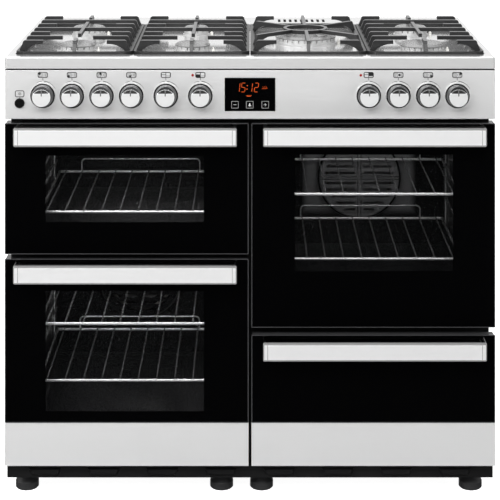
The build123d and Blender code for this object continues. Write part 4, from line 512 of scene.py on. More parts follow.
def make_right_enamel():
    """Dark enamel, with a paler rectangle on the rear wall: a mask in X and Z times a step in depth."""
    material = enamel("right_oven_enamel")
    tree, shader, colour = open_finish(material)
    panel = rectangle_mask(tree, REAR_PANEL_LOW, REAR_PANEL_HIGH, REAR_PANEL_FADE)
    rear = add_step(tree, object_axis(tree, "Y"), REAR_WALL_Y, ENAMEL_FADE, True)
    colour = add_mix(tree, add_math(tree, "MULTIPLY", panel, rear), colour, ENAMEL_PALE)
    tree.links.new(colour, shader.inputs["Base Color"])
    return material


def make_cover_enamel():
    """Dark on the left cover and pale on the right, with a ring in another tone and a cross of dark lines:
    painted light and shade of the pressing.

    The ring lies between two distances from the cover's middle, and two thin rectangles edge each rib.
    """
    material = enamel("cover_enamel")
    tree, shader, colour = open_finish(material)
    right = add_step(tree, object_axis(tree, "X"), 0.0, ENAMEL_FADE, True)
    colour = add_mix(tree, right, colour, ENAMEL_PALE)
    # The rings are painted highlight on the left and painted shade on the right.
    for centre, tone in ((LEFT_COVER_CENTRE, COVER_RING_HIGHLIGHT), (RIGHT_COVER_CENTRE, ENAMEL_DARK)):
        radius = axis_distance(tree, *centre)
        outside = add_step(tree, radius, COVER_RING, COVER_RING_FADE, True)
        inside = add_step(tree, radius, COVER_RING + COVER_RING_WIDTH, COVER_RING_FADE, False)
        colour = add_mix(tree, add_math(tree, "MULTIPLY", outside, inside), colour, tone)
    # The dark lines along the ribs are painted shade.
    for side in (-1.0, 1.0):
        for x, z in (LEFT_COVER_CENTRE, RIGHT_COVER_CENTRE):
            upright = (x + side * COVER_RIB_REACH[0], z, COVER_RIB_LINE, COVER_RING)
            level = (x, z + side * COVER_RIB_REACH[1], COVER_RING, COVER_RIB_LINE)
            for line_x, line_z, half_width, half_height in (upright, level):
                low = (line_x - half_width, line_z - half_height)
                high = (line_x + half_width, line_z + half_height)
                colour = add_mix(tree, rectangle_mask(tree, low, high, COVER_RIB_FADE), colour, ENAMEL_DARK)
    tree.links.new(colour, shader.inputs["Base Color"])
    return material


dress(enamel("oven_enamel"), "upper_left_cavity", "lower_left_cavity")
dress(make_right_enamel(), "right_cavity")
dress(make_cover_enamel(), "fan_covers")


# Fans, motors and elements: plain sheet impellers on motors behind the oven walls.
# The element sheaths are steel that heat has turned brown-grey.
def grey(level):
    """A neutral colour: one level for red, green and blue."""
    return (level, level, level)


fan_steel = grained("fan_steel", grey(0.24), grey(0.36), (0.25, 0.42), (12.0, 500.0), metal=0.9)
element_sheath = grained(
    "element_sheath", (0.10, 0.092, 0.086), (0.20, 0.185, 0.175), (0.35, 0.55), (60.0, 800.0), metal=0.7
)
dress(fan_steel, "lower_left_fan", "right_fan", "fan_motors")
dress(element_sheath, "heating_elements")

# Shelves and runner ladders: round steel wire, welded and then bright plated.
# The shelves lie on the ladders' rungs, and their long wires are painted darker than the cross bars, a
# painted shade.
# Painted shade: the wires along Y are given this darker grey.
WIRE_SHADE_GREY = (0.24, 0.24, 0.244)
BAR_FACING = 0.35
BAR_FADE = 0.3


def make_shelf_plating():
    """Bright plating, painted darker on wires along Y as painted shade: the mask is how far the surface
    itself faces along Y.
    """
    material = grained(
        "shelf_plating", (0.84, 0.84, 0.86), (0.94, 0.94, 0.95),
        (0.22, 0.30), (30.0, 900.0), (0.03, 0.0001), metal=0.6,
    )
    tree, shader, colour = open_finish(material)
    place = tree.nodes.new("ShaderNodeTexCoord")
    direction = tree.nodes.new("ShaderNodeSeparateXYZ")
    tree.links.new(place.outputs["Normal"], direction.inputs["Vector"])
    facing = add_math(tree, "ABSOLUTE", direction.outputs["Y"])
    across = add_step(tree, facing, BAR_FACING, BAR_FADE, True)
    tree.links.new(add_mix(tree, across, WIRE_SHADE_GREY, colour), shader.inputs["Base Color"])
    return material


dress(make_shelf_plating(), "oven_shelves", "shelf_runners")

# Door seals: hollow rubber rings, each moulded in one piece, that lie round the oven mouths.
# The rubber is a dull dark grey with a faint mottle.
seal_rubber = grained("seal_rubber", grey(0.018), grey(0.032), (0.6, 0.8), (80.0, 900.0))
dress(seal_rubber, "door_seals")

# Door trays: pressed inner panels in gloss black enamel, which carry the hinge pins.
# Each has an opening a little larger than the window of its door.
tray_enamel = grained(
    "tray_enamel", (0.010, 0.010, 0.011), (0.018, 0.018, 0.019), (0.16, 0.26), (14.0, 420.0), (0.05, 0.0002)
)
dress(tray_enamel, "upper_left_door_panel", "lower_left_door_panel", "right_door_panel")

# Storage drawer: a box of folded sheet on two plain runners.
# It is painted dark grey, with the same orange peel as the carcass.
drawer_paint = grained(
    "drawer_paint", (0.040, 0.040, 0.042), (0.058, 0.058, 0.060), (0.38, 0.50), (10.0, 420.0), (0.12, 0.0003)
)
dress(drawer_paint, "drawer_box")

# Inner panes: clear toughened glass inside each door, seen from behind when the door is open.
# Each is a plain sheet that lies against the door tray.
PANE_ALPHA = 0.10


def make_inner_pane():
    """Clear glass as a thin grey film: nearly see-through everywhere, with a faint mottle in its gloss."""
    material = grained(
        "inner_pane", (0.004, 0.0044, 0.0044), (0.006, 0.0066, 0.0066),
        (0.02, 0.05), (6.0, 60.0), (0.0, 0.0001),
    )
    material.node_tree.nodes["Principled BSDF"].inputs["Alpha"].default_value = PANE_ALPHA
    return material


dress(make_inner_pane(), "upper_left_inner_glass", "lower_left_inner_glass", "right_inner_glass")

# Outer panes: toughened glass with black ceramic print on the back, left clear for the window.
# The print has a soft dotted edge, which shows as a short fade round each window.
# The pane's own edge is ground, and a band along it is painted grey: partly the frosted grind, partly a
# painted highlight where the edge catches the light.
PRINT_FADE = 0.004
PRINT_BLACK = (0.0007, 0.0007, 0.0008)
WINDOW_HALF_WIDTH = 0.164
LEFT_WINDOW_X = -0.2555
RIGHT_WINDOW_X = 0.253
GROUND_EDGE = 0.0012
GROUND_FADE = 0.0006
# The grey edge band is partly a painted highlight.
GROUND_AND_GLINT_GREY = (0.04, 0.04, 0.042)


def printed_pane(name, node, centre_x, floor, top):
    """Black printed glass with a grey ground edge, partly a painted highlight, clear between two heights;
    equal ones mean no window.
    """
    material = grained(name, PRINT_BLACK, PRINT_BLACK, (0.02, 0.045), (5.0, 40.0), (0.0, 0.0001))
    tree, shader, colour = open_finish(material)
    low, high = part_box(node)
    inner_low = (low[0] + GROUND_EDGE, low[2] + GROUND_EDGE)
    inner_high = (high[0] - GROUND_EDGE, high[2] - GROUND_EDGE)
    flat = rectangle_mask(tree, inner_low, inner_high, GROUND_FADE)
    tree.links.new(add_mix(tree, flat, GROUND_AND_GLINT_GREY, colour), shader.inputs["Base Color"])
    if top > floor:
        window_low = (centre_x - WINDOW_HALF_WIDTH, floor)
        window_high = (centre_x + WINDOW_HALF_WIDTH, top)
        window = rectangle_mask(tree, window_low, window_high, PRINT_FADE)
        tree.links.new(add_range(tree, window, (0.0, 1.0), (1.0, PANE_ALPHA)), shader.inputs["Alpha"])
    dress(material, node)


printed_pane("upper_left_print", "upper_left_door_glass", LEFT_WINDOW_X, 0.564, 0.705)
printed_pane("lower_left_print", "lower_left_door_glass", LEFT_WINDOW_X, 0.178, 0.429)
printed_pane("right_print", "right_door_glass", RIGHT_WINDOW_X, 0.464, 0.707)
printed_pane("drawer_print", "drawer_glass", RIGHT_WINDOW_X, 0.0, 0.0)

# Front trims, control panel and hob: stainless sheet with a long brushed grain from side to side.
# The hob is pressed from brighter sheet: its top mirrors what stands on it, and its front lip is brushed and
# painted a darker grey, a painted shade on its upright face.
BRUSHED = (0.03, 1.0, 1.0)
LIP_FACE = -0.2752
# Painted shade: the lip's upright face is given a darker grey than the top.
LIP_SHADE_GREY = grey(0.60)
LIP_METAL = grey(0.6)
LIP_ROUGHNESS = grey(0.42)
TOP_METAL = grey(0.8)
TOP_ROUGHNESS = grey(0.10)
PANEL_BEND = 0.8766
# Painted shade: a dark band where the panel bends into the gap under the hob's lip.
PANEL_BEND_SHADE = grey(0.03)
STEEL_FADE = 0.0006


def brushed_steel(name, dark, light):
    """Stainless sheet with its grain drawn out along X."""
    return grained(name, dark, light, (0.34, 0.44), (9.0, 900.0), (0.05, 0.0001), BRUSHED, metal=0.6)


def make_panel_steel():
    """The brushed steel of the fronts in a darker copy, a painted shade, and darker still above the height
    where the panel bends under the hob's lip: painted shade in the gap there.
    """
    material = brushed_steel("panel_steel", grey(0.68), grey(0.76))
    tree, shader, colour = open_finish(material)
    bend = add_step(tree, object_axis(tree, "Z"), PANEL_BEND, STEEL_FADE, True)
    tree.links.new(add_mix(tree, bend, colour, PANEL_BEND_SHADE), shader.inputs["Base Color"])
    return material


def make_hob_steel():
    """Mirror bright sheet on top; before the depth of the lip's face, the brushed look of the fronts in a
    darker grey, painted shade.
    """
    material = grained(
        "hob_steel", grey(0.84), grey(0.88), (0.26, 0.34), (6.0, 900.0), (0.01, 0.0001), BRUSHED
    )
    tree, shader, colour = open_finish(material)
    top = add_step(tree, object_axis(tree, "Y"), LIP_FACE, STEEL_FADE, True)
    tree.links.new(add_mix(tree, top, LIP_SHADE_GREY, colour), shader.inputs["Base Color"])
    tree.links.new(add_mix(tree, top, LIP_METAL, TOP_METAL), shader.inputs["Metallic"])
    tree.links.new(add_mix(tree, top, LIP_ROUGHNESS, TOP_ROUGHNESS), shader.inputs["Roughness"])
    return material


# The panel's steel is a darker copy of the trims' steel, a painted shade.
dress(make_panel_steel(), "control_panel")
dress(brushed_steel("front_steel", grey(0.76), grey(0.84)), "lower_left_door_trim", "drawer_trim")
dress(make_hob_steel(), "hob_top")

# Handles: an aluminium angle between two cast end caps, fixed to the front of each door and the drawer.
# The face is brushed satin, its edges are dull and all behind them is polished; edges and back are painted
# dark grey, painted shade in place of the highlights and reflections there.
HANDLE_FACE_END = -0.3239
HANDLE_FACE_FADE = 0.0001
HANDLE_EDGE_END = -0.3190
HANDLE_EDGE_FADE = 0.001
HANDLE_FACE_METAL = grey(0.6)
HANDLE_FACE_ROUGHNESS = grey(0.34)
# Painted shade: the edges and the polished back are given dark greys.
HANDLE_EDGE_SHADE = grey(0.16)
HANDLE_EDGE_ROUGHNESS = grey(0.55)
HANDLE_BACK_SHADE = grey(0.24)
HANDLE_BACK_ROUGHNESS = grey(0.07)


def make_handle_metal():
    """Satin aluminium on the front face, dull round its edges and polished metal behind, by depth; edges and
    back are painted dark, painted shade.
    """
    material = grained(
        "handle_metal", grey(0.88), grey(0.93), (0.30, 0.38), (12.0, 900.0), (0.04, 0.0001), BRUSHED
    )
    tree, shader, satin = open_finish(material)
    depth = object_axis(tree, "Y")
    face = add_step(tree, depth, HANDLE_FACE_END, HANDLE_FACE_FADE, False)
    behind = add_step(tree, depth, HANDLE_EDGE_END, HANDLE_EDGE_FADE, True)
    # These dark greys are painted shade.
    colour = add_mix(tree, behind, HANDLE_EDGE_SHADE, HANDLE_BACK_SHADE)
    rough = add_mix(tree, behind, HANDLE_EDGE_ROUGHNESS, HANDLE_BACK_ROUGHNESS)
    tree.links.new(add_mix(tree, face, colour, satin), shader.inputs["Base Color"])
    tree.links.new(add_mix(tree, face, rough, HANDLE_FACE_ROUGHNESS), shader.inputs["Roughness"])
    tree.links.new(add_mix(tree, face, behind, HANDLE_FACE_METAL), shader.inputs["Metallic"])
    return material


dress(make_handle_metal(), "upper_left_handle", "lower_left_handle", "right_handle", "drawer_handle")

# Burners: die-cast alloy bodies with slotted crowns under loose steel caps in satin grey enamel.
# A ceramic electrode beside each body gives the spark that lights it.
burner_alloy = grained(
    "burner_alloy", grey(0.52), grey(0.66), (0.28, 0.40), (30.0, 700.0), (0.1, 0.0002), metal=0.3
)
cap_enamel = grained(
    "cap_enamel", grey(0.26), grey(0.32), (0.22, 0.30), (30.0, 500.0), (0.03, 0.0002), metal=0.3
)
electrode_ceramic = grained(
    "electrode_ceramic", (0.70, 0.69, 0.66), (0.80, 0.79, 0.76), (0.3, 0.45), (60.0, 900.0)
)
dress(burner_alloy, "burner_bodies")
dress(cap_enamel, "burner_caps")
dress(electrode_ceramic, "spark_electrodes")

# Pan supports: cast iron with grey-black enamel, which stand loose on the hob and lift off.
# The top edges are painted paler, a painted highlight where the light falls on them.
# Painted highlight: above this height the tops of the supports are given a paler grey.
LIT_TOP_Z = 0.9294
LIT_TOP_FADE = 0.0006
LIT_TOP_GREY = (0.15, 0.15, 0.153)


def make_support_iron():
    """Grey-black enamel, painted paler above the height where pans rest: a painted highlight on the lit
    tops.
    """
    material = grained(
        "support_iron", (0.012, 0.012, 0.0125), (0.020, 0.020, 0.0205),
        (0.30, 0.40), (24.0, 650.0), (0.10, 0.0003),
    )
    tree, shader, colour = open_finish(material)
    # The paler tops are a painted highlight.
    lit_top = add_step(tree, object_axis(tree, "Z"), LIT_TOP_Z, LIT_TOP_FADE, True)
    tree.links.new(add_mix(tree, lit_top, colour, LIT_TOP_GREY), shader.inputs["Base Color"])
    return material


dress(make_support_iron(), "left_pan_support", "middle_pan_support", "wok_pan_support", "right_pan_support")

# Gas rail, taps and switches: plain steel pipe and die-cast bodies behind the control panel.
# The spindles of the taps come out through the panel and carry the knobs.
pipe_steel = grained("pipe_steel", grey(0.42), grey(0.56), (0.3, 0.45), (20.0, 600.0), metal=0.9)
valve_alloy = grained(
    "valve_alloy", (0.40, 0.40, 0.41), (0.54, 0.54, 0.55), (0.4, 0.55), (30.0, 700.0), metal=0.8
)
dress(pipe_steel, "gas_rail")
dress(valve_alloy, "valves_and_switches")

# Knobs: turned bodies in dark polished chrome on a bright skirt, pushed onto the spindles.
# The front is a satin disc, cut away above the middle by a slanted facet; a crescent of the facet is painted
# black, a painted shade, inside a grey rim that is a painted highlight.
# A grey pointer line runs from the disc up the facet.
KNOBS = {
    "rear_left_knob": -0.4225,
    "front_left_knob": -0.363,
    "rear_middle_knob": -0.3025,
    "front_middle_knob": -0.242,
    "grill_knob": -0.1716,
    "left_oven_knob": -0.1012,
    "right_oven_knob": 0.242,
    "wok_knob": 0.3025,
    "front_right_knob": 0.363,
    "rear_right_knob": 0.4225,
}
KNOB_Z = 0.825
KNOB_FACE = -0.301
DISC_END = -0.3006
DISC_FADE = 0.0002
DISC_SATIN = grey(0.75)
DISC_METAL = grey(0.55)
DISC_ROUGHNESS = grey(0.38)
CHROME_METAL = grey(0.95)
CHROME_ROUGHNESS = grey(0.22)
SKIRT_START = -0.2835
SKIRT_FADE = 0.0004
SKIRT_RING = 0.0251
SKIRT_RING_FADE = 0.0003
SKIRT_BRIGHT = grey(0.95)
SKIRT_METAL = grey(0.45)
FACET_FLOOR = 0.0088
FACET_TOP = 0.0265
FACET_DEPTH = 0.011
FACET_TOLERANCE = 0.0003
FACET_FADE = 0.0002
# Painted shade: a black crescent on the facet, with a grey rim of painted highlight round it.
CRESCENT_DROP = 0.0050
CRESCENT_RADIUS = 0.0198
CRESCENT_FADE = 0.0004
FACET_SHADE_BLACK = grey(0.004)
FACET_SHADE_METAL = grey(0.0)
RIM_RADIUS = 0.0210
# The rim's grey is a painted highlight.
RIM_HIGHLIGHT_GREY = grey(0.45)
facet_slope = math.hypot(FACET_TOP - FACET_FLOOR, FACET_DEPTH)
FACET_NORMAL = (0.0, -(FACET_TOP - FACET_FLOOR) / facet_slope, FACET_DEPTH / facet_slope)


def facet_distance(tree):
    """How far a point lies from the slanted plane: its offset from the facet's foot along the normal."""
    offset = add_vector(tree, "SUBTRACT", object_place(tree), (0.0, KNOB_FACE, KNOB_Z + FACET_FLOOR))
    height = add_vector(tree, "DOT_PRODUCT", offset.outputs["Vector"], FACET_NORMAL)
    return add_math(tree, "ABSOLUTE", height.outputs["Value"])


def make_knob_finish(knob, knob_x):
    """Dark chrome all round, with masks for the satin front disc, the crescent of painted shade and the
    skirt.

    The disc and the skirt are told by depth; the crescent is the part of the slanted plane near the axis,
    with a grey rim round it that is a painted highlight.
    """
    material = grained(
        f"{knob}_chrome", (0.045, 0.045, 0.047), (0.065, 0.065, 0.067),
        (0.10, 0.16), (40.0, 900.0), (0.01, 0.0001),
    )
    tree, shader, colour = open_finish(material)
    depth = object_axis(tree, "Y")
    disc = add_step(tree, depth, DISC_END, DISC_FADE, False)
    base = add_step(tree, depth, SKIRT_START, SKIRT_FADE, True)
    ring = add_step(tree, axis_distance(tree, knob_x, KNOB_Z), SKIRT_RING, SKIRT_RING_FADE, True)
    skirt = add_math(tree, "MULTIPLY", base, ring)
    facet = add_step(tree, facet_distance(tree), FACET_TOLERANCE, FACET_FADE, False)
    reach = axis_distance(tree, knob_x, KNOB_Z - CRESCENT_DROP)
    crescent = add_step(tree, reach, CRESCENT_RADIUS, CRESCENT_FADE, False)
    # The crescent is painted shade, and the rim below is a painted highlight.
    facet_shade = add_math(tree, "MULTIPLY", facet, crescent)
    rim = add_math(tree, "MULTIPLY", facet, add_step(tree, reach, RIM_RADIUS, CRESCENT_FADE, False))
    colour = add_mix(tree, skirt, colour, SKIRT_BRIGHT)
    colour = add_mix(tree, rim, colour, RIM_HIGHLIGHT_GREY)
    colour = add_mix(tree, disc, colour, DISC_SATIN)
    colour = add_mix(tree, facet_shade, colour, FACET_SHADE_BLACK)
    metal = add_mix(tree, skirt, CHROME_METAL, SKIRT_METAL)
    metal = add_mix(tree, disc, metal, DISC_METAL)
    metal = add_mix(tree, facet_shade, metal, FACET_SHADE_METAL)
    tree.links.new(colour, shader.inputs["Base Color"])
    tree.links.new(metal, shader.inputs["Metallic"])
    tree.links.new(add_mix(tree, disc, CHROME_ROUGHNESS, DISC_ROUGHNESS), shader.inputs["Roughness"])
    return material


for knob, knob_x in KNOBS.items():
    dress(make_knob_finish(knob, knob_x), knob)

POINTER_WIDTH = 0.0022
POINTER_LIFT = 0.00012
POINTER_THICKNESS = 0.0001
POINTER_FLOOR = 0.0030
POINTER_TOP = 0.0146
pointer_grey = grained("pointer_grey", grey(0.045), grey(0.065), (0.35, 0.5), (200.0, 900.0))


def pointer_strip(x):
    """A narrow strip up a knob's middle: three heights, set just clear of the disc and then of the facet."""
    up = np.array([POINTER_FLOOR, FACET_FLOOR, POINTER_TOP])
    back = np.maximum(up - FACET_FLOOR, 0.0) * FACET_DEPTH / (FACET_TOP - FACET_FLOOR)
    across = np.array([-POINTER_WIDTH / 2, POINTER_WIDTH / 2])
    strip = np.empty((3, 2, 3))
    strip[..., 0] = x + across[None, :]
    strip[..., 1] = (KNOB_FACE - POINTER_LIFT + back)[:, None]
    strip[..., 2] = (KNOB_Z + up)[:, None]
    return strip


for knob, knob_x in KNOBS.items():
    pointer = add_piece(f"{knob}_pointer", [pointer_strip(knob_x)], pointer_grey, knob, POINTER_THICKNESS)

# Panel signs: dark ink printed on the steel above and beside each control.
# Each hob sign is a small plan of the burners with the one in question filled.
# The oven signs show the four fronts in the same way, and arcs show which way a knob turns.
INK_WIDTH = 0.0015
INK_LIFT = 0.0001
INK_DEPTH = FRONT_Y - INK_LIFT
SIGN_Z = 0.8671
SIGN_SIZE = (0.0192, 0.0106)
SIGN_CORNER = 0.0030
RING_WIDTH = 0.0006
FRONT_CORNER = 0.0006
FILLED_SPOT = 0.0025
OUTLINE_POINTS = 32
SPOT_POINTS = 24
ARC_POINTS = 20


def flat_grid(left, right, depth):
    """A strip on an upright plane: two rows of points in x and z, side by side, at one depth."""
    sides = np.stack([left, right], axis=1)
    return np.stack([sides[..., 0], np.full(sides.shape[:2], depth), sides[..., 1]], axis=-1)


def stroke(path, width, depth=INK_DEPTH):
    """An open line of ink: the path's points moved half the width to both sides, square to its direction."""
    path = np.asarray(path, dtype=float)
    along = np.gradient(path, axis=0)
    along /= np.linalg.norm(along, axis=1, keepdims=True)
    across = np.stack([-along[:, 1], along[:, 0]], axis=1)
    across *= np.broadcast_to(width, len(path))[:, None] / 2
    return flat_grid(path + across, path - across, depth)


def level_line(left, right, z, width, depth=INK_DEPTH):
    """A straight line of ink from left to right at one height."""
    return stroke([(left, z), (right, z)], width, depth)


def outline(centre, size, corner, width, depth=INK_DEPTH):
    """A rounded rectangle's line: quarter circles about four inner corners, at radii a line width apart."""
    turn = 2 * math.pi * (np.arange(OUTLINE_POINTS + 1) % OUTLINE_POINTS + 0.5) / OUTLINE_POINTS
    ray = np.stack([np.cos(turn), np.sin(turn)], axis=1)
    middle = np.asarray(centre) + (np.asarray(size) / 2 - corner) * np.sign(ray)
    return flat_grid(middle + (corner - width / 2) * ray, middle + (corner + width / 2) * ray, depth)


def spot(centre, radius, inner=0.0, depth=INK_DEPTH):
    """A filled disc, or a ring where the inner radius is more than nought: two circles of points."""
    turn = 2 * math.pi * (np.arange(SPOT_POINTS + 1) % SPOT_POINTS) / SPOT_POINTS
    ray = np.stack([np.cos(turn), np.sin(turn)], axis=1)
    return flat_grid(np.asarray(centre) + inner * ray, np.asarray(centre) + radius * ray, depth)


def arc_stroke(centre, radius, start, end, first_width, last_width):
    """A tapering arc round a knob, by angles from straight up, clockwise, in degrees."""
    angle = np.radians(np.linspace(start, end, ARC_POINTS))
    path = np.asarray(centre) + radius * np.stack([np.sin(angle), np.cos(angle)], axis=1)
    return stroke(path, np.linspace(first_width, last_width, ARC_POINTS))


# Burners on a sign: right and up from the sign's middle, and radius
BURNER_SPOTS = {
    "rear_left_knob": (-0.0066, 0.0024, 0.0016),
    "front_left_knob": (-0.0066, -0.0024, 0.0016),
    "rear_middle_knob": (-0.0024, 0.0024, 0.0016),
    "front_middle_knob": (-0.0024, -0.0024, 0.0016),
    "wok_knob": (0.0022, 0.0, 0.0027),
    "front_right_knob": (0.0066, -0.0024, 0.0016),
    "rear_right_knob": (0.0066, 0.0024, 0.0016),
}
# Oven fronts on a sign: right and up from the sign's middle to the front's middle, width and height
OVEN_FRONTS = {
    "grill_knob": (-0.0045, 0.0026, 0.0084, 0.0042),
    "left_oven_knob": (-0.0045, -0.0020, 0.0084, 0.0056),
    "right_oven_knob": (0.0045, 0.0015, 0.0084, 0.0068),
    "drawer": (0.0045, -0.0035, 0.0084, 0.0030),
}
TICK_FLOOR = 0.8565
TICK_TOP = 0.8609
TICK_WIDTH = 0.0011
ARC_RADIUS = 0.0292
# Arcs beside a knob: first and last angle, first and last width
KNOB_ARCS = ((-26.0, -5.0, 0.0003, 0.0008), (5.0, 62.0, 0.0013, 0.0003))


def hob_sign(knob, x):
    """The plan of the hob: an outline, a ring for each burner, and the knob's own burner filled."""
    marks = [outline((x, SIGN_Z), SIGN_SIZE, SIGN_CORNER, INK_WIDTH)]
    for burner, (right, up, radius) in BURNER_SPOTS.items():
        centre = (x + right, SIGN_Z + up)
        if burner == knob:
            marks.append(spot(centre, FILLED_SPOT))
        else:
            marks.append(spot(centre, radius, radius - RING_WIDTH))
    return marks


def oven_sign(knob, x):
    """The four fronts: an outline, a line round each front, and the front of the knob's own oven filled."""
    marks = [outline((x, SIGN_Z), SIGN_SIZE, SIGN_CORNER, INK_WIDTH)]
    for front, (right, up, width, height) in OVEN_FRONTS.items():
        centre = (x + right, SIGN_Z + up)
        marks.append(outline(centre, (width, height), FRONT_CORNER, RING_WIDTH))
        if front == knob and front != "grill_knob":
            marks.append(level_line(centre[0] - width / 2, centre[0] + width / 2, centre[1], height))
    return marks


panel_marks = []
for knob, knob_x in KNOBS.items():
    panel_marks += hob_sign(knob, knob_x) if knob in BURNER_SPOTS else oven_sign(knob, knob_x)
    panel_marks.append(stroke([(knob_x, TICK_FLOOR), (knob_x, TICK_TOP)], TICK_WIDTH))
    for arc in KNOB_ARCS:
        panel_marks.append(arc_stroke((knob_x, KNOB_Z), ARC_RADIUS, *arc))

# The ignition sign: a spark in a frame above the button, printed with the other signs.
# The spark is a ring of eight tapering rays, and a short tick leads down to the button.
SPARK_X = -0.4697
SPARK_Z = 0.8287
SPARK_FRAME = (0.0177, 0.0123)
SPARK_RAYS = 8
SPARK_INNER = 0.0011
SPARK_OUTER = 0.0042
SPARK_TAPER = (0.0009, 0.0002)
SPARK_TICK_FLOOR = 0.8192
SPARK_TICK_TOP = 0.8222
SPARK_TICK_WIDTH = 0.0008
panel_marks.append(outline((SPARK_X, SPARK_Z), SPARK_FRAME, SIGN_CORNER, INK_WIDTH))
for spark_angle in (np.arange(SPARK_RAYS) + 0.5) * 2 * math.pi / SPARK_RAYS:
    ray = np.array([math.cos(spark_angle), math.sin(spark_angle)])
    centre = np.array([SPARK_X, SPARK_Z])
    panel_marks.append(stroke([centre + SPARK_INNER * ray, centre + SPARK_OUTER * ray], SPARK_TAPER))
panel_marks.append(stroke([(SPARK_X, SPARK_TICK_FLOOR), (SPARK_X, SPARK_TICK_TOP)], SPARK_TICK_WIDTH))
panel_ink = grained("panel_ink", grey(0.002), grey(0.004), (0.45, 0.6), (300.0, 900.0))
add_piece("panel_signs", panel_marks, panel_ink, "root", INK_LIFT)

# Ignition button, lamps and clock pane: gloss black plastic, red lenses and dark glass.
# The button slides in a cup behind the panel; the lenses and the pane sit in openings of the panel.
button_plastic = grained(
    "button_plastic", grey(0.003), grey(0.005), (0.14, 0.22), (60.0, 700.0), (0.03, 0.0001)
)
lamp_red = grained("lamp_red", (0.19, 0.004, 0.003), (0.26, 0.006, 0.005), (0.12, 0.2), (200.0, 900.0))
clock_pane = grained("clock_pane", PRINT_BLACK, PRINT_BLACK, (0.02, 0.05), (8.0, 60.0), (0.0, 0.0001))
dress(button_plastic, "ignition_button")
dress(lamp_red, "lamp_lenses")
dress(clock_pane, "display_glass")

# Clock figures: lit bars behind the pane, with a heat sign beside them and a pot sign below.
# Each figure is made of up to seven slanted bars, named here by the two corners of the cell that they join.
GLASS_FACE = -0.2773
GLOW_DEPTH = GLASS_FACE - INK_LIFT
FIGURE_FLOOR = 0.8328
FIGURE_TOP = 0.8509
FIGURE_HALF = 0.0037
BAR_WIDTH = 0.0008
BAR_TIP = 0.0003
BAR_GAP = 0.0006
SLANT = math.tan(math.radians(6.0))
figure_middle = (FIGURE_FLOOR + FIGURE_TOP) / 2
CELL_CORNERS = {
    "lower_left": (-FIGURE_HALF, FIGURE_FLOOR),
    "lower_right": (FIGURE_HALF, FIGURE_FLOOR),
    "middle_left": (-FIGURE_HALF, figure_middle),
    "middle_right": (FIGURE_HALF, figure_middle),
    "upper_left": (-FIGURE_HALF, FIGURE_TOP),
    "upper_right": (FIGURE_HALF, FIGURE_TOP),
}
LEVEL_BARS = (
    ("upper_left", "upper_right"),
    ("middle_left", "middle_right"),
    ("lower_left", "lower_right"),
)
UPPER_RIGHT = ("middle_right", "upper_right")
LOWER_RIGHT = ("lower_right", "middle_right")
UPPER_LEFT = ("middle_left", "upper_left")
LOWER_LEFT = ("lower_left", "middle_left")
FIGURE_BARS = {
    1: (UPPER_RIGHT, LOWER_RIGHT),
    2: (*LEVEL_BARS, UPPER_RIGHT, LOWER_LEFT),
    5: (*LEVEL_BARS, UPPER_LEFT, LOWER_RIGHT),
}
CLOCK_FIGURES = ((1, -0.0248), (5, -0.0136), (1, 0.0007), (2, 0.0131))
COLON_X = -0.0058
COLON_HEIGHTS = (0.8385, 0.8455)
COLON_RADIUS = 0.0010
# Level lines of the heat sign, the pot's rim and its base: left, right, height, width
CLOCK_LINES = (
    (0.0245, 0.0355, 0.8395, 0.0005),
    (-0.0087, 0.0034, 0.8256, 0.0004),
    (-0.0064, 0.0014, 0.8240, 0.0009),
)
WAVE_PLACES = (0.0265, 0.0300, 0.0335)
WAVE_FLOOR = 0.8410
WAVE_HEIGHT = 0.0030
WAVE_SWING = 0.0006
WAVE_WIDTH = 0.0004
GLOW_GRAIN = 900.0
GLOW_DEEP = (1.0, 0.10, 0.005)
GLOW_BRIGHT = (1.0, 0.16, 0.008)
GLOW_BASE = (0.02, 0.003, 0.001, 1.0)


def slanted(points):
    """Points of the clock leaned to the right: x grows with the height above the figures' middle."""
    points = np.asarray(points, dtype=float)
    return np.stack([points[:, 0] + (points[:, 1] - figure_middle) * SLANT, points[:, 1]], axis=1)


def figure_bar(figure_x, ends):
    """One lit bar: between two corners of the cell, cut short by a gap at both ends, with pointed tips."""
    first, last = (np.array(CELL_CORNERS[end]) + (figure_x, 0.0) for end in ends)
    along = (last - first) / np.linalg.norm(last - first)
    reach = np.array([BAR_GAP, BAR_GAP + BAR_WIDTH / 2])[:, None]
    path = np.concatenate([first + along * reach, last - along * reach[::-1]])
    return stroke(slanted(path), [BAR_TIP, BAR_WIDTH, BAR_WIDTH, BAR_TIP], GLOW_DEPTH)


def heat_wave(x):
    """One wave of the heat sign: one turn of a sine about an upright line."""
    rise = np.linspace(0.0, 1.0, 9)
    path = np.stack([x + WAVE_SWING * np.sin(rise * 2 * math.pi), WAVE_FLOOR + WAVE_HEIGHT * rise], axis=1)
    return stroke(path, WAVE_WIDTH, GLOW_DEPTH)


def make_clock_glow():
    """Lit orange-red bars, whose glow drifts a little with a fine noise on object coordinates."""
    material, tree, shader = start_material("clock_glow")
    noise = tree.nodes.new("ShaderNodeTexNoise")
    noise.inputs["Scale"].default_value = GLOW_GRAIN
    tree.links.new(object_place(tree), noise.inputs["Vector"])
    colour = add_mix(tree, noise.outputs["Fac"], GLOW_DEEP, GLOW_BRIGHT)
    tree.links.new(colour, shader.inputs["Emission Color"])
    shader.inputs["Base Color"].default_value = GLOW_BASE
    shader.inputs["Emission Strength"].default_value = 1.0
    return material


clock_bars = [figure_bar(x, ends) for figure, x in CLOCK_FIGURES for ends in FIGURE_BARS[figure]]
colon_places = slanted([(COLON_X, z) for z in COLON_HEIGHTS])
clock_bars += [spot(place, COLON_RADIUS, depth=GLOW_DEPTH) for place in colon_places]
clock_bars += [level_line(*line, GLOW_DEPTH) for line in CLOCK_LINES]
clock_bars += [heat_wave(x) for x in WAVE_PLACES]
add_piece("clock_figures", clock_bars, make_clock_glow(), "root", INK_LIFT)

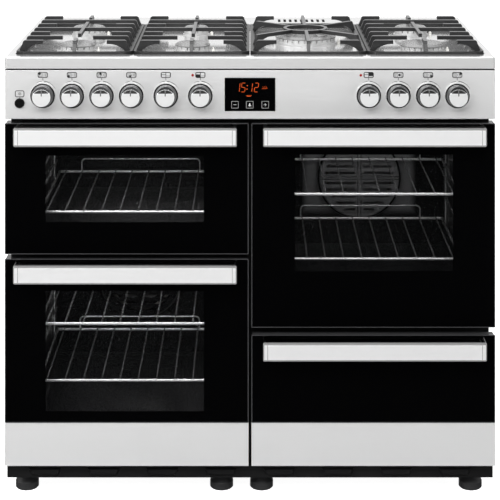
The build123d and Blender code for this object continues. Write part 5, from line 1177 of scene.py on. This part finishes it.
# Touch fields: three squares printed in pale ink on the clock's pane, below the figures.
# They hold a minus, a bell for the timer and a plus.
FIELD_Z = 0.8067
FIELD_SIZE = (0.0138, 0.0138)
FIELD_CORNER = 0.0008
FIELD_LINE = 0.0005
MINUS_X = -0.0307
BELL_X = -0.0005
PLUS_X = 0.0311
ARM_REACH = 0.0032
ARM_WIDTH = 0.0008
BELL_TOP = 0.0032
BELL_HEIGHT = 0.0050
BELL_CROWN = 0.0016
BELL_SWELL = 0.0034
BELL_CURVE = 1.6
BELL_RIM_DROP = 0.0021
BELL_RIM_REACH = 0.0034
BELL_RIM_WIDTH = 0.0007
CLAPPER_DROP = 0.0034
CLAPPER_RADIUS = 0.0008


def bell_mark(x, z):
    """A bell seen from the side: a column of widths that swell downwards, with a rim and a clapper."""
    down = np.linspace(0.0, 1.0, 10)
    path = np.stack([np.full_like(down, x), z + BELL_TOP - BELL_HEIGHT * down], axis=1)
    body = stroke(path, BELL_CROWN + BELL_SWELL * down ** BELL_CURVE, GLOW_DEPTH)
    rim = level_line(x - BELL_RIM_REACH, x + BELL_RIM_REACH, z - BELL_RIM_DROP, BELL_RIM_WIDTH, GLOW_DEPTH)
    return [body, rim, spot((x, z - CLAPPER_DROP), CLAPPER_RADIUS, depth=GLOW_DEPTH)]


touch_marks = bell_mark(BELL_X, FIELD_Z)
for field_x in (MINUS_X, BELL_X, PLUS_X):
    touch_marks.append(outline((field_x, FIELD_Z), FIELD_SIZE, FIELD_CORNER, FIELD_LINE, GLOW_DEPTH))
for field_x in (MINUS_X, PLUS_X):
    touch_marks.append(level_line(field_x - ARM_REACH, field_x + ARM_REACH, FIELD_Z, ARM_WIDTH, GLOW_DEPTH))
plus_upright = [(PLUS_X, FIELD_Z - ARM_REACH), (PLUS_X, FIELD_Z + ARM_REACH)]
touch_marks.append(stroke(plus_upright, ARM_WIDTH, GLOW_DEPTH))
touch_ink = grained("touch_ink", grey(0.34), grey(0.42), (0.4, 0.55), (300.0, 900.0))
add_piece("touch_fields", touch_marks, touch_ink, "root", INK_LIFT)
